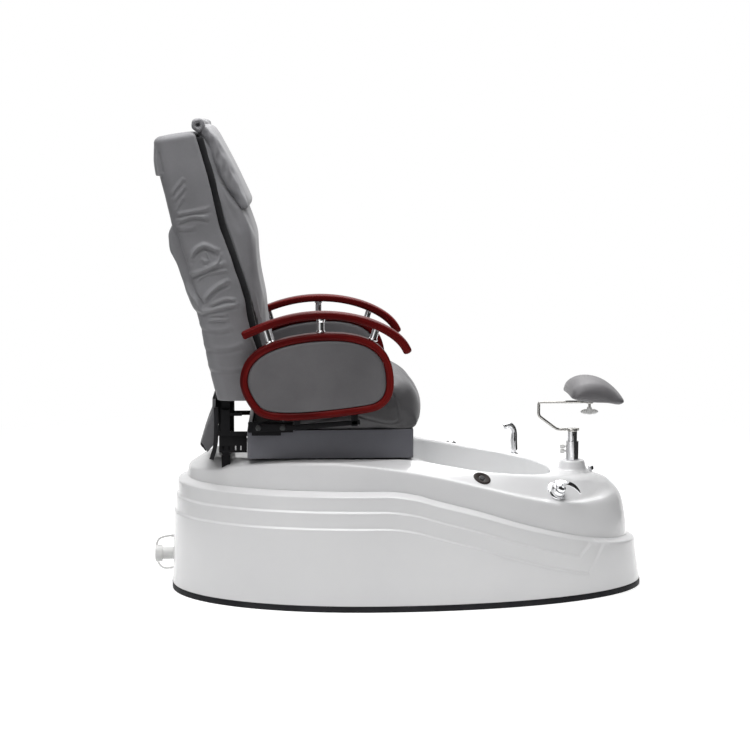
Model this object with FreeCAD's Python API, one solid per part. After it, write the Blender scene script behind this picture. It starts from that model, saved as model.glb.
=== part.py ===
"""Pedicure spa chair: a sliding, reclining massage seat on a moulded foot-bath base.

Row frame, in millimetres: +X is the way the sitter faces, +Y is the sitter's left, +Z is up.
The origin is on the floor, midway along and across the base's footprint.
"""
import FreeCAD, Part

import functools
import math
import os

V = FreeCAD.Vector
X_AXIS, Y_AXIS, Z_AXIS = V(1, 0, 0), V(0, 1, 0), V(0, 0, 1)

# Plan ovals: centre X, reach to the rear, reach to the front, half width, rear power, front power.
# A power of 2 is an ellipse; a higher one is a fuller corner.
SKIRT_FOOT = (-100, 612, 820, 375, 2.12, 2.0)
SKIRT_HEAD = (-100, 602, 774, 365, 2.12, 2.0)
SKIRT_HEAD_Z = 330
WALL_FOOT = (-100, 595, 777, 343, 2.12, 2.0)
WALL_HEAD = (-100, 551, 760, 318, 2.12, 2.0)
WALL_FOOT_Z, WALL_HEAD_Z = 130, 430
CREST = (150, 750, 405, 244, 3.0, 1.8)
BASIN_EDGE = (150, 170, 295, 234, 3.2, 2.2)

# Height profiles of the base, as (X, Z) points joined smoothly.
LEDGE = [(-720, 333), (-80, 333), (0, 324), (78, 302), (195, 269), (314, 229), (437, 192),
         (565, 160), (640, 147), (720, 137)]
CREASE = [(-660, 378), (-592, 386), (-480, 408), (-350, 424), (-237, 426), (-151, 420), (-30, 404),
          (81, 383), (199, 353), (319, 320), (442, 291), (500, 283), (550, 285), (590, 304), (612, 328)]
DECK = [(-620, 407), (-540, 417), (-440, 424), (-20, 425), (60, 411), (140, 397), (203, 386),
        (292, 374), (380, 362), (454, 353), (560, 344)]
NOSE_START = 440
LEDGE_RISE = 12
TRIM_HEIGHT, TRIM_DEPTH, TRIM_PROUD = 18, 14, 1.5
STEP_DEPTH = 5
STEP_DROPS = (48, 96)
STEP_CORNERS = (508, 535)
STEP_FADE = 45
STEP_RISE = 1.6
SHELL_WALL = 6
SKIRT_WALL = 17
FLANGE = 12
ROW_POINTS = 32

BASIN_FLOOR_Z = 122
BASIN_WALL = 5
BASIN_MID_Z, BASIN_MID_INSET, BASIN_FLOOR_INSET = 260, 12, 52

# Seat group
SEAT_HALF = 240
SEAT_REAR, SEAT_FRONT = -476, 8
SEAT_BOX_Z0, SEAT_BOX_Z1 = 431.5, 499
PANEL = 12
PAN_Z = 487
CUSHION_HALF = 244
CUSHION_SIDE = [(-374, 509), (-371, 560), (-368, 610), (-365, 660), (-360, 687), (-345, 702),
                (-320, 707), (-260, 708), (-200, 708), (-140, 708), (-100, 708), (-74, 706), (-50, 699),
                (-18, 674), (5, 637), (19, 600), (23, 557), (17, 523), (6, 509)]
RAIL_Y, RAIL_HALF = 170, 15
RAIL_X0, RAIL_X1 = -392, -30
RAIL_Z0, RAIL_Z1 = 426.6, 444
GUIDE_GAP = 0.3
GUIDE_WALL = 5
BAR_Y0, BAR_Y1 = 206, 216

# Recline pivot, crank and actuator
PIVOT_X, PIVOT_Z = -540, 530
PIVOT_R = 8
POST = 24
LEG_Y0, LEG_Y1 = 190, 200
CRANK_DROP = 88
CRANK_BAR_R = 6
ACTUATOR_X, ACTUATOR_Z = -130, 462
ACTUATOR_R, ACTUATOR_LONG = 14, 230
ROD_R = 7
PIVOT_PLAY = 6.5

# Backrest side outline, X and Z
BACK_HALF = 250
BACK_REAR = [(-562, 600), (-575, 648), (-621, 864), (-689, 1111), (-728, 1280)]
BACK_TOP = [(-736, 1338), (-716, 1358), (-627, 1371)]
BACK_FRONT = [(-614, 1358), (-565, 1179), (-458, 827), (-396, 600)]
BACK_WALL = 22
PAD_HALF = 236
PAD_SIDE = [(-609, 1367), (-607, 1352), (-586, 1270), (-560, 1180), (-506, 1002), (-453, 828),
            (-424, 720), (-402, 640), (-396, 622), (-374, 626), (-384, 664), (-408, 740),
            (-425, 817), (-429, 867), (-444, 950), (-452, 1023), (-456, 1087), (-470, 1136),
            (-502, 1176), (-545, 1258), (-583, 1356), (-598, 1372)]
PILLOW_HALF = 214
PILLOW_SIDE = [(-594, 1384), (-578, 1356), (-558, 1304), (-539, 1259), (-517, 1216), (-495, 1181),
               (-476, 1156), (-463, 1154),
               (-471, 1175), (-513, 1266), (-588, 1386), (-606, 1410), (-612, 1402)]
WRAP_Z0, WRAP_Z1 = 866, 1100
WRAP_THICK = 9
MASSAGE_START = V(-505, 0, 700)
MASSAGE_DIRECTION = V(-280, 0, 950)
MASSAGE_RAIL_LONG, MASSAGE_RAIL_R, MASSAGE_RAIL_Y = 560, 6, 90
CARRIAGE_AT = 60

# Cloth panel behind the seat, X and Z from its top edge
APRON = [(-576, 598), (-597, 530), (-613, 450), (-602, 424), (-590, 415)]
APRON_HALF, APRON_THICK = 200, 3

# Armrest side outline (outer edge of the timber hoop), X and Z, from its lowest rear point round
HOOP_OUTLINE = [(-383, 551), (-443, 566), (-476, 606), (-493, 652), (-476, 722), (-426, 764),
                (-345, 791), (-234, 802), (-150, 792), (-100, 769), (-68, 732), (-53, 672),
                (-62, 612), (-92, 582), (-135, 570), (-250, 556)]
HOOP_BAR, HOOP_INNER, HOOP_OUTER = 22, 263, 313
ARM_PAD_INNER, ARM_PAD_OUTER = 268, 309
RAIL_TOP = [(-490, 803), (-429, 829), (-369, 849), (-269, 863), (-189, 858), (-129, 844),
            (-69, 818), (-29, 789), (-5, 757)]
RAIL_THICK, RAIL_WIDE, RAIL_Y_MID = 20, 56, 287
ARM_PIVOT_X, ARM_PIVOT_Z = -443, 524
ARM_PIN_R = 6
ARM_POSTS = [(-408, 770, 16), (-262, 800, 0), (-113, 778, -18)]
ARM_POST_R = 11.5
BRACKET_Y0, BRACKET_Y1 = 252, 258
BRACKET_BOLTS = [-443, -373]

# Footrest
POST_X = 508
BOSS_Z, BOSS_R = 379, 38
SLEEVE_TOP, SLEEVE_FOOT, SLEEVE_R = 437, 230, 20
TUBE_R, TUBE_BORE, TUBE_TOP, TUBE_FOOT = 15, 11, 466, 245
ARM_ROD_R = 4.5
ARM_ROD = [(520, 470.8), (461, 470.8), (404, 514), (404, 556), (549, 556)]
FOOTPAD_HALF = 112
FOOTPAD_SIDE = [(484, 590), (500, 622), (547, 638), (590, 630), (627, 607), (658, 572), (656, 556),
                (612, 565), (505, 565)]
FOOTPAD_STEM_X, FOOTPAD_STEM_R = 559, 4
CLAMP_KNOBS = [("upper", 420), ("lower", 405)]

# Deck fittings
TAP_X, TAP_Y = 434, -193
LIFT_Z = 42
SHOWER_X, SHOWER_Y, SHOWER_TOP = 355, 226, 436
AIR_X, AIR_Y = 158, 262
PAD_X, PAD_Y = 207, -265
KNOB_X, KNOB_Y, KNOB_Z = 572, 42, 337
FIT = 0.2
RUNNING_FIT = 0.05

# Basin fittings
JET_X = (120, 260)
JET_Z, JET_R = 220, 14
MANIFOLD_R, MANIFOLD_BORE = 12, 9
SUCTION_X, DRAIN_X = 80, 240
DRAIN_Y, DRAIN_Z, DRAIN_R = 100, 76, 15
STOPPER_R = 21.5

# Angles in degrees at which the round mouldings are cut into sectors
SKIRT_CUTS = [-174.5, -157.5, -131, -90, -38.4, -17, -5.3, 5.3, 17, 38.4, 90, 131, 157.5, 174.5]
DECK_CUT_X = 100
DECK_CUTS = [-163, -135, -95, -75, -55, -26, -9, 9, 26, 55, 75, 95, 135, 163]
BASIN_CUTS = [-162, -126, -90, -78, -66, -54, -18, 18, 54, 66, 78, 90, 126, 162]

# Base frame, square tube
TUBE = 30
FRAME_Y, FRAME_Z = 220, 30
FRAME_X0, FRAME_X1 = -550, 450
CROSS_X = (-500, -330, -170, -60, 0, 420)
LEG_X, LEG_Y, LEG_TOP = (-500, -60), 170, 408
DECK_BOLTS = (-370, -80)
INLET_SPOTS = [(150, 110), (192, 110)]
INLET_R, INLET_LONG = 10.45, 60
FOOT_SPOTS = [(0, 0), (-520, 220), (-520, -220), (430, 220), (430, -220)]

# Mains cord: exit from the rear wall, route on the floor, coil behind the base
CORD_R = 3.5
GLAND_Y, GLAND_Z, GLAND_END = 96, 132, -722
CORD_ROUTE = [(-722, 96, 132), (-757, 102, 128), (-772, 128, 98), (-772, 142, 46), (-757, 176, 9),
              (-724, 222, 3.6), (-680, 278, 3.6), (-634, 330, 3.6), (-584, 366, 3.6), (-528, 378, 3.6),
              (-489, 377.8, 3.6)]
COIL_X, COIL_Y = -482, 426
COIL_OUT, COIL_IN = 48.2, 28.9
COIL_TURNS = 2.5
COIL_LAYER = 7.8
COIL_RISE = 0.25
COIL_TAIL = 28
PLUG_LONG = 52


def along(profile, x):
    """Height of a profile at x: a monotone cubic through its points, flat beyond them."""
    if x <= profile[0][0]:
        return profile[0][1]
    if x >= profile[-1][0]:
        return profile[-1][1]
    slopes = [(b[1] - a[1]) / (b[0] - a[0]) for a, b in zip(profile, profile[1:])]
    tangents = [slopes[0]]
    for before, after in zip(slopes, slopes[1:]):
        same = before * after > 0
        tangents.append(2 * before * after / (before + after) if same else 0.0)
    tangents.append(slopes[-1])
    index = max(i for i, point in enumerate(profile[:-1]) if point[0] <= x)
    (x0, z0), (x1, z1) = profile[index], profile[index + 1]
    h = x1 - x0
    t = (x - x0) / h
    return ((2 * t**3 - 3 * t**2 + 1) * z0 + (t**3 - 2 * t**2 + t) * h * tangents[index]
            + (3 * t**2 - 2 * t**3) * z1 + (t**3 - t**2) * h * tangents[index + 1])


def blend_plan(low, high, share):
    """Plan oval a share of the way from one oval to another."""
    return tuple(a + (b - a) * share for a, b in zip(low, high))


def grown(plan, amount, nose=0.0):
    """Plan oval with its reaches grown by an amount, and its front reach by nose more."""
    centre, rear, front, half, rear_power, front_power = plan
    return centre, rear + amount, front + amount + nose, half + amount, rear_power, front_power


def skirt_plan(z, inset=0.0):
    return grown(blend_plan(SKIRT_FOOT, SKIRT_HEAD, z / SKIRT_HEAD_Z), -inset)


def wall_plan(z, inset=0.0, nose=0.0):
    share = (z - WALL_FOOT_Z) / (WALL_HEAD_Z - WALL_FOOT_Z)
    return grown(blend_plan(WALL_FOOT, WALL_HEAD, share), -inset, -nose)


def oval_point(plan, turn):
    """Point of a plan oval on the ray through its ellipse's point at an angle from the nose."""
    centre, rear, front, half, rear_power, front_power = plan
    cosine, sine = math.cos(turn), math.sin(turn)
    reach, power = (front, front_power) if cosine >= 0 else (rear, rear_power)
    x, y = reach * cosine, half * sine
    scale = (abs(x / reach) ** power + abs(y / half) ** power) ** (-1 / power)
    return centre + x * scale, y * scale


def oval_half_width(plan, x):
    centre, rear, front, half, rear_power, front_power = plan
    reach, power = (front, front_power) if x >= centre else (rear, rear_power)
    return half * max(0.0, 1 - abs((x - centre) / reach) ** power) ** (1 / power)


def through(points):
    """Left half of the smooth ring through points from nose to rear, and its mirror image."""
    ring = points + [V(point.x, -point.y, point.z) for point in reversed(points[1:-1])]
    curve = Part.BSplineCurve()
    curve.interpolate(Points=ring, PeriodicFlag=True,
                      Parameters=[float(step) for step in range(len(ring) + 1)])
    left = curve.toShape(0.0, float(ROW_POINTS))
    return left, left.mirror(V(0, 0, 0), Y_AXIS)


def row(plan_at, height_at):
    """One ring of a moulding as its left and right half edges, nose to rear.

    plan_at gives the oval for a height, and height_at gives the height for an X.
    """
    points = []
    for step in range(ROW_POINTS + 1):
        turn = math.pi * step / ROW_POINTS
        z = height_at(oval_point(plan_at(SKIRT_HEAD_Z), turn)[0])
        x, y = oval_point(plan_at(z), turn)
        points.append(V(x, 0.0 if step in (0, ROW_POINTS) else y, height_at(x)))
    return through(points)


def flat_row(plan, z):
    return row(lambda height: plan, lambda x: z)


def stacked(rows, closed=False):
    """Solid through rings of a moulding; closed joins the last ring to the first."""
    pairs = list(zip(rows, rows[1:]))
    if closed:
        pairs.append((rows[-1], rows[0]))
    faces = [Part.makeRuledSurface(low[side], high[side], 1) for low, high in pairs for side in (0, 1)]
    if not closed:
        faces += [Part.Face(Part.Wire(list(end))) for end in (rows[0], rows[-1])]
    shell = Part.makeCompound(faces)
    shell.sewShape()
    solid = Part.makeSolid(shell.Shells[0])
    if solid.Volume < 0:
        solid.reverse()
    return solid


def sectors(shape, centre_x, turns):
    """Ring-shaped moulding as touching sectors about a vertical line, cut at angles in degrees."""
    reach = 1200
    middle = V(centre_x, 0, -20)
    pieces = []
    for start, end in zip(turns, turns[1:] + [turns[0] + 360]):
        corners = [middle] + [middle + V(reach * math.cos(math.radians(turn)),
                                         reach * math.sin(math.radians(turn)), 0)
                              for turn in (start, (start + end) / 2, end)]
        wedge = Part.Face(Part.makePolygon(corners + [middle])).extrude(V(0, 0, 700))
        pieces += shape.common(wedge).Solids
    return group(pieces)


def box(x0, x1, y0, y1, z0, z1):
    return Part.makeBox(x1 - x0, y1 - y0, z1 - z0, V(x0, y0, z0))


def eased(block, radius, axis):
    """Straight block with its edges along an axis rounded."""
    return block.makeFillet(radius, [edge for edge in block.Edges if abs(edge.tangentAt(0).dot(axis)) > 0.9])


def rod(start, end, radius):
    start, end = V(*start), V(*end)
    return Part.makeCylinder(radius, (end - start).Length, start, end - start)


def tube(start, end, outer, inner):
    return rod(start, end, outer).cut(rod(start, end, inner))


def mirrored(shape):
    return shape.mirror(V(0, 0, 0), Y_AXIS)


def both_sides(shape):
    return Part.makeCompound([shape, mirrored(shape)])


def group(shapes):
    return Part.makeCompound(list(shapes))


def polygon_xz(points, y0, y1):
    """Straight-sided prism across Y with a side outline of X, Z points."""
    wire = Part.makePolygon([V(x, y0, z) for x, z in points] + [V(points[0][0], y0, points[0][1])])
    return Part.Face(wire).extrude(V(0, y1 - y0, 0))


def spline_edge(points, y=0.0):
    curve = Part.BSplineCurve()
    curve.interpolate(Points=[V(x, y, z) for x, z in points])
    return curve.toShape()


def closed_spline_xz(points, y):
    curve = Part.BSplineCurve()
    curve.interpolate(Points=[V(x, y, z) for x, z in points], PeriodicFlag=True)
    return Part.Wire(curve.toShape())


def turned(profile_rz, at=V(0, 0, 0), direction=Z_AXIS):
    """Solid of revolution from (radius, height) points about an axis through a point."""
    points = [V(r, 0, z) for r, z in profile_rz]
    solid = Part.Face(Part.makePolygon(points + [points[0]])).revolve(V(0, 0, 0), Z_AXIS, 360)
    return placed(solid, at, direction)


def placed(shape, at, direction=Z_AXIS, spin=0.0):
    """Copy of a shape with its Z axis turned to a direction and its origin moved to a point."""
    lean = FreeCAD.Rotation(Z_AXIS, direction)
    shape = shape.copy()
    shape.Placement = FreeCAD.Placement(at, lean.multiply(FreeCAD.Rotation(Z_AXIS, spin)))
    return shape


def arc_edge(start, tangent, end):
    """Arc from start to end that leaves along a tangent, or a line where they agree."""
    chord = end - start
    normal = chord - tangent * chord.dot(tangent)
    if normal.Length < 1e-6 * chord.Length:
        return Part.makeLine(start, end)
    normal.normalize()
    radius = chord.dot(chord) / (2 * chord.dot(normal))
    centre = start + normal * radius
    middle = (start + end) * 0.5 - centre
    middle.normalize()
    if chord.dot(tangent) < 0:
        middle = middle * -1
    return Part.Arc(start, centre + middle * radius, end).toShape()


def rounded_path(points, share=0.45, radius=None):
    """Wire of straight runs with a tangent arc at every inner point, and the arc radii."""
    points = [V(*p) for p in points]
    edges, radii = [], []
    last = points[0]
    for before, corner, after in zip(points, points[1:], points[2:]):
        into, out = corner - before, after - corner
        shorter = min(into.Length, out.Length)
        into.normalize()
        out.normalize()
        half_turn = math.acos(max(-1.0, min(1.0, into.dot(out)))) / 2
        bend = radius if radius else share * shorter / math.tan(half_turn)
        reach = bend * math.tan(half_turn)
        first, second = corner - into * reach, corner + out * reach
        if (first - last).Length > 1e-6:
            edges.append(Part.makeLine(last, first))
        edges.append(arc_edge(first, into, second))
        radii.append(bend)
        last = second
    edges.append(Part.makeLine(last, points[-1]))
    return Part.Wire(edges), radii


def swept(path, radius, bore=0.0):
    """Round bar or tube along a wire."""
    def pipe(size):
        start = path.OrderedEdges[0]
        direction = start.tangentAt(start.FirstParameter)
        if (start.valueAt(start.FirstParameter) - path.OrderedVertexes[0].Point).Length > 1e-6:
            direction = start.tangentAt(start.LastParameter) * -1
        ring = Part.Wire(Part.makeCircle(size, path.OrderedVertexes[0].Point, direction))
        return path.makePipeShell([ring], True, False)
    solid = pipe(radius)
    return solid.cut(pipe(bore)) if bore else solid


def bent_bar(points, radius, bend, bore=0.0):
    path, radii = rounded_path(points, radius=bend)
    return swept(path, radius, bore)


@functools.lru_cache(maxsize=None)
def deck_spot(x, y, reach=8):
    """Point of the deck's outer face at x and y, and its mean outward unit normal there."""
    deck = moulded_deck()

    def top(px, py):
        line = Part.makeLine(V(px, py, 250), V(px, py, 500))
        return line.common(deck).BoundBox.ZMax
    slope_x = (top(x + reach, y) - top(x - reach, y)) / (2 * reach)
    slope_y = (top(x, y + reach) - top(x, y - reach)) / (2 * reach)
    normal = V(-slope_x, -slope_y, 1)
    normal.normalize()
    return V(x, y, top(x, y)), normal


# Base mouldings

def faded(x, depth, corner):
    """Depth of a band's step, run out to nothing a little ahead of its front corner."""
    share = max(0.0, min(1.0, (x - corner) / STEP_FADE))
    return depth * (1 - share * share * (3 - 2 * share))


def stepped_row(depth, height_at, corner):
    """Ring on the skirt set in by a depth that fades out towards the nose."""
    points = []
    for step in range(ROW_POINTS + 1):
        turn = math.pi * step / ROW_POINTS
        x = oval_point(SKIRT_HEAD, turn)[0]
        z = height_at(x)
        x, y = oval_point(skirt_plan(z, faded(x, depth, corner)), turn)
        points.append(V(x, 0.0 if step in (0, ROW_POINTS) else y, height_at(x)))
    return through(points)


def skirt_shell(holes):
    """Lower moulding: tapered skirt with two stepped wave bands and a ledge round its top."""
    def ledge(x):
        return along(LEDGE, x)
    rings = [flat_row(skirt_plan(TRIM_HEIGHT), TRIM_HEIGHT)]
    depth = 0.0
    for drop, corner in zip(reversed(STEP_DROPS), reversed(STEP_CORNERS)):
        rings.append(stepped_row(depth, lambda x: ledge(x) - drop, corner))
        depth += STEP_DEPTH
        rings.append(stepped_row(depth, lambda x: ledge(x) - drop + STEP_DEPTH * STEP_RISE, corner))
    rings += [
        stepped_row(depth, ledge, STEP_CORNERS[0]),
        row(lambda z: wall_plan(z), lambda x: ledge(x) + LEDGE_RISE),
        row(lambda z: wall_plan(z, FLANGE), lambda x: ledge(x) + LEDGE_RISE),
        row(lambda z: wall_plan(z, FLANGE), lambda x: ledge(x) + LEDGE_RISE - SHELL_WALL),
        row(lambda z: skirt_plan(z, SKIRT_WALL), lambda x: ledge(x) - SHELL_WALL),
        flat_row(skirt_plan(TRIM_HEIGHT, SKIRT_WALL - STEP_DEPTH), TRIM_HEIGHT),
    ]
    return sectors(stacked(rings, closed=True).cut(group(holes)), SKIRT_HEAD[0], SKIRT_CUTS)


def shoulder_rows(inset=0.0, drop=0.0):
    """The three rings that round the upper wall over into the deck, tight along the sides."""
    def lowered(side, nose):
        reach = WALL_HEAD[2] + WALL_HEAD[0]
        return lambda x: (along(CREASE, x) - side - drop if x < NOSE_START else
                          along([(NOSE_START, along(CREASE, NOSE_START) - side),
                                 ((NOSE_START + reach) / 2, (along(CREASE, NOSE_START) + nose) / 2 - side),
                                 (reach, nose)], x) - drop)
    return [
        row(lambda z: wall_plan(z, inset), lowered(11, 205)),
        row(lambda z: wall_plan(z, inset + 1.5, 10), lowered(4, 282)),
        row(lambda z: wall_plan(z, inset + 7, 48), lambda x: along(CREASE, x) - drop),
    ]


@functools.lru_cache(maxsize=None)
def moulded_deck():
    """Upper moulding before its holes: wall, rounded shoulder and deck round the basin's mouth."""
    foot = lambda x: along(LEDGE, x) + LEDGE_RISE + 0.2
    deck = lambda x: along(DECK, x)
    under = lambda x: along(DECK, x) - SHELL_WALL
    outer = [row(lambda z: wall_plan(z), foot)] + shoulder_rows()
    outer += [row(lambda z: CREST, deck), row(lambda z: BASIN_EDGE, deck)]
    inner = [row(lambda z: grown(BASIN_EDGE, 0), under), row(lambda z: grown(CREST, -3), under)]
    inner += list(reversed(shoulder_rows(SHELL_WALL, 5)))
    inner += [row(lambda z: wall_plan(z, SHELL_WALL), foot)]
    shell = stacked(outer + inner, closed=True)
    boss_z = along(DECK, POST_X)
    boss = turned([(0, boss_z - 4), (BOSS_R + 6, boss_z - 4), (BOSS_R + 3, boss_z + 8),
                   (BOSS_R - 2, BOSS_Z), (0, BOSS_Z)], V(POST_X, 0, 0))
    return shell.fuse(boss)


def deck_shell(holes):
    return sectors(moulded_deck().cut(group(holes)).removeSplitter(), DECK_CUT_X, DECK_CUTS)


def foot_basin(holes):
    """Foot bath liner hung from the deck: a tapered bowl with a drain seat."""
    def rows(grow, lower):
        top = row(lambda z: grown(BASIN_EDGE, grow - 6),
                  lambda x: along(DECK, x) - SHELL_WALL - 0.2)
        middle = flat_row(grown(BASIN_EDGE, grow - 6 - BASIN_MID_INSET), BASIN_MID_Z)
        heel = flat_row(grown(BASIN_EDGE, grow - 6 - BASIN_FLOOR_INSET + 16), BASIN_FLOOR_Z + 22 - lower)
        floor = flat_row(grown(BASIN_EDGE, grow - 6 - BASIN_FLOOR_INSET), BASIN_FLOOR_Z - lower)
        return [top, middle, heel, floor]
    inner, outer = rows(0, 0), rows(BASIN_WALL, BASIN_WALL)
    faces = []
    for wall in (inner, outer):
        for high, low in zip(wall, wall[1:]):
            faces += [Part.makeRuledSurface(high[side], low[side], 1) for side in (0, 1)]
        faces.append(Part.Face(Part.Wire(list(wall[-1]))))
    faces += [Part.makeRuledSurface(inner[0][side], outer[0][side], 1) for side in (0, 1)]
    shell = Part.makeCompound(faces)
    shell.sewShape()
    solid = Part.makeSolid(shell.Shells[0])
    if solid.Volume < 0:
        solid.reverse()
    return sectors(solid.cut(group(holes)), DRAIN_X, BASIN_CUTS)


def floor_trim():
    """Black rubber strip that the skirt stands on."""
    outer = grown(skirt_plan(TRIM_HEIGHT), TRIM_PROUD)
    inner = grown(skirt_plan(TRIM_HEIGHT), -TRIM_DEPTH)
    return stacked([flat_row(outer, 0), flat_row(outer, TRIM_HEIGHT), flat_row(inner, TRIM_HEIGHT),
                    flat_row(inner, 0)], closed=True)


# Frame and plumbing inside the base

def base_frame():
    """Welded square tubes: two long bars, cross bars, four legs and the bars under the deck."""
    half = TUBE / 2

    def hollow(x0, x1, y0, y1, z0, z1, axis):
        grow = [2 if i == axis else -2 for i in range(3)]
        return box(x0, x1, y0, y1, z0, z1).cut(box(x0 - grow[0], x1 + grow[0], y0 - grow[1], y1 + grow[1],
                                                   z0 - grow[2], z1 + grow[2]))
    low, high = FRAME_Z, FRAME_Z + TUBE
    inner = FRAME_Y - half
    bars = [hollow(FRAME_X0, FRAME_X1, side - half, side + half, low, high, 0) for side in (-FRAME_Y, FRAME_Y)]
    bars += [hollow(x - half, x + half, -inner, inner, low, high, 1) for x in CROSS_X]
    for side in (-LEG_Y, LEG_Y):
        bars += [hollow(x - half, x + half, side - half, side + half, high, LEG_TOP - TUBE, 2) for x in LEG_X]
        bars.append(hollow(LEG_X[0] + 20, LEG_X[1] + half, side - half, side + half, LEG_TOP - TUBE, LEG_TOP, 0))
        bars += [rod((x, side, LEG_TOP), (x, side, RAIL_Z0), 4) for x in DECK_BOLTS]
    return group(bars)


def levelling_feet():
    profile = [(0, 0), (20, 0), (20, 4), (7, 8), (5, 9), (5, FRAME_Z), (0, FRAME_Z)]
    return group(turned(profile, V(x, y, 0)) for x, y in FOOT_SPOTS)


def bath_pump():
    """Pump lying along X under the seat, on feet that stand on two cross bars."""
    body = turned([(0, 0), (48, 0), (48, 118), (54, 124), (54, 180), (20, 186), (20, 200), (0, 200)],
                  V(-350, 0, 120), X_AXIS)
    feet = [box(x - 12, x + 12, -42, 42, FRAME_Z + TUBE, 90) for x in (-330, -170)]
    outlet = rod((-198, 0, 120), (-198, 0, 190), 16)
    return body.fuse(feet).fuse(outlet).removeSplitter()


def basin_wall(x, z):
    """Inner half width of the basin at x and z, on its straight part above the heel."""
    heel_z = BASIN_FLOOR_Z + 22
    share = (BASIN_MID_Z - z) / (BASIN_MID_Z - heel_z)
    inset = 6 + BASIN_MID_INSET + share * (BASIN_FLOOR_INSET - 16 - BASIN_MID_INSET)
    return oval_half_width(grown(BASIN_EDGE, -inset), x)


def jet_holes():
    return [rod((x, -300, JET_Z), (x, 300, JET_Z), JET_R + FIT) for x in JET_X]


def jet_manifold():
    """Water pipe round the rear of the basin, with four jets through its walls."""
    side = 240
    points = [(310, -side, JET_Z), (-30, -side, JET_Z), (-30, side, JET_Z), (310, side, JET_Z)]
    riser = [(-198, 0, 190.2), (-198, 0, JET_Z), (-42, 0, JET_Z)]
    outer = bent_bar(points, MANIFOLD_R, 30).fuse(bent_bar(riser, MANIFOLD_R, 22))
    inner = bent_bar(points, MANIFOLD_BORE, 30)
    pieces = [outer.cut(inner)]
    for x in JET_X:
        wall = basin_wall(x, JET_Z)
        for sign in (-1, 1):
            pieces.append(rod((x, sign * (wall - 4), JET_Z), (x, sign * (side - MANIFOLD_R - 0.5), JET_Z), JET_R))
    return group(pieces)


def suction_fitting():
    """Grille on the basin floor and its pipe back to the pump."""
    floor = BASIN_FLOOR_Z
    grille = turned([(0, 96), (16, 96), (16, floor), (40, floor), (38, floor + 4), (0, floor + 5)],
                    V(SUCTION_X, 0, 0))
    slots = [box(SUCTION_X - 26, SUCTION_X + 26, y - 1.5, y + 1.5, floor + 1, floor + 9) for y in (-15, -5, 5, 15)]
    pipe = bent_bar([(SUCTION_X, 0, 96), (SUCTION_X, 0, 74), (-80, 0, 74), (-112, 0, 120), (-150, 0, 120)], 12, 14)
    return group([grille.cut(group(slots)), pipe])


def drain_fitting():
    """Drain seat in the basin floor, sump cup and waste pipe to the rear wall."""
    floor = BASIN_FLOOR_Z
    seat = turned([(22, 98), (26, 98), (26, floor), (33, floor), (31, floor + 3), (22, floor + 3)],
                  V(DRAIN_X, 0, 0))
    guide = box(DRAIN_X - 22.5, DRAIN_X + 22.5, -5, 5, 100, 106)
    guide = guide.cut(rod((DRAIN_X, 0, 90), (DRAIN_X, 0, 110), 4 + RUNNING_FIT))
    cup = turned([(0, 62), (26, 62), (26, 98), (22, 98), (22, 65), (0, 65)], V(DRAIN_X, 0, 0))
    cup = cup.cut(rod((DRAIN_X, 0, DRAIN_Z), (DRAIN_X, 40, DRAIN_Z), DRAIN_R - 4.5))
    waste = bent_bar([(DRAIN_X, 26.3, DRAIN_Z), (DRAIN_X, DRAIN_Y, DRAIN_Z), (-660, DRAIN_Y, DRAIN_Z)],
                     DRAIN_R, 32, DRAIN_R - 4.5)
    return group([seat.fuse(guide), cup, waste])


def drain_union():
    """Waste union through the rear wall, with its flange and hose spigot."""
    bore = 12
    profile = [(bore, 0), (19, 0), (19, 90), (26.5, 90), (26.5, 110), (20, 112), (bore, 112)]
    return turned(profile, V(-660.2, DRAIN_Y, DRAIN_Z), X_AXIS * -1)


def drain_stopper():
    floor = BASIN_FLOOR_Z
    return turned([(0, 92), (4, 92), (4, floor - 3), (STOPPER_R, floor - 2), (STOPPER_R, floor + 2),
                   (14, floor + 6), (0, floor + 7)], V(DRAIN_X, 0, 0))


# Supplies at the rear wall

def inlet_end(y):
    """X of the skirt's outer face at a height of about a hundred, on its rear side."""
    plan = skirt_plan(INLET_SPOTS[0][1])
    share = (abs(y) / plan[3]) ** plan[4]
    return plan[0] - plan[1] * (1 - share) ** (1 / plan[4])


def supply_inlets():
    spigot = [(6, 0), (14, 0), (14, 34), (INLET_R, 34), (INLET_R, INLET_LONG), (6, INLET_LONG)]
    return group(turned(spigot, V(inlet_end(y) + 40, y, z), X_AXIS * -1) for y, z in INLET_SPOTS)


def power_box():
    return eased(box(-640, -570, 56, 136, 100, 160), 4, X_AXIS)


def cord_gland():
    """Cord gland through the rear wall, tapered over the cord outside."""
    length = -640 - GLAND_END
    return turned([(0, 0), (8, 0), (8, length - 32), (11, length - 32), (11, length - 24), (8, length - 22),
                   (5, length), (0, length)], V(-640, GLAND_Y, GLAND_Z), X_AXIS * -1)


def rear_holes():
    holes = [rod((-600, DRAIN_Y, DRAIN_Z), (-760, DRAIN_Y, DRAIN_Z), 19 + FIT),
             rod((-600, GLAND_Y, GLAND_Z), (-690, GLAND_Y, GLAND_Z), 8 + FIT),
             rod((-684, GLAND_Y, GLAND_Z), (-760, GLAND_Y, GLAND_Z), 11 + FIT)]
    return holes + [rod((-500, y, z), (-760, y, z), 14 + FIT) for y, z in INLET_SPOTS]


def mains_cord():
    path, radii = rounded_path(CORD_ROUTE)
    cord = swept(path, CORD_R)
    print("cord radii", [round(r, 1) for r in radii], "volume ratio",
          round(cord.Volume / (math.pi * CORD_R ** 2 * path.Length), 4), "length", round(path.Length))
    return cord


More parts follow.
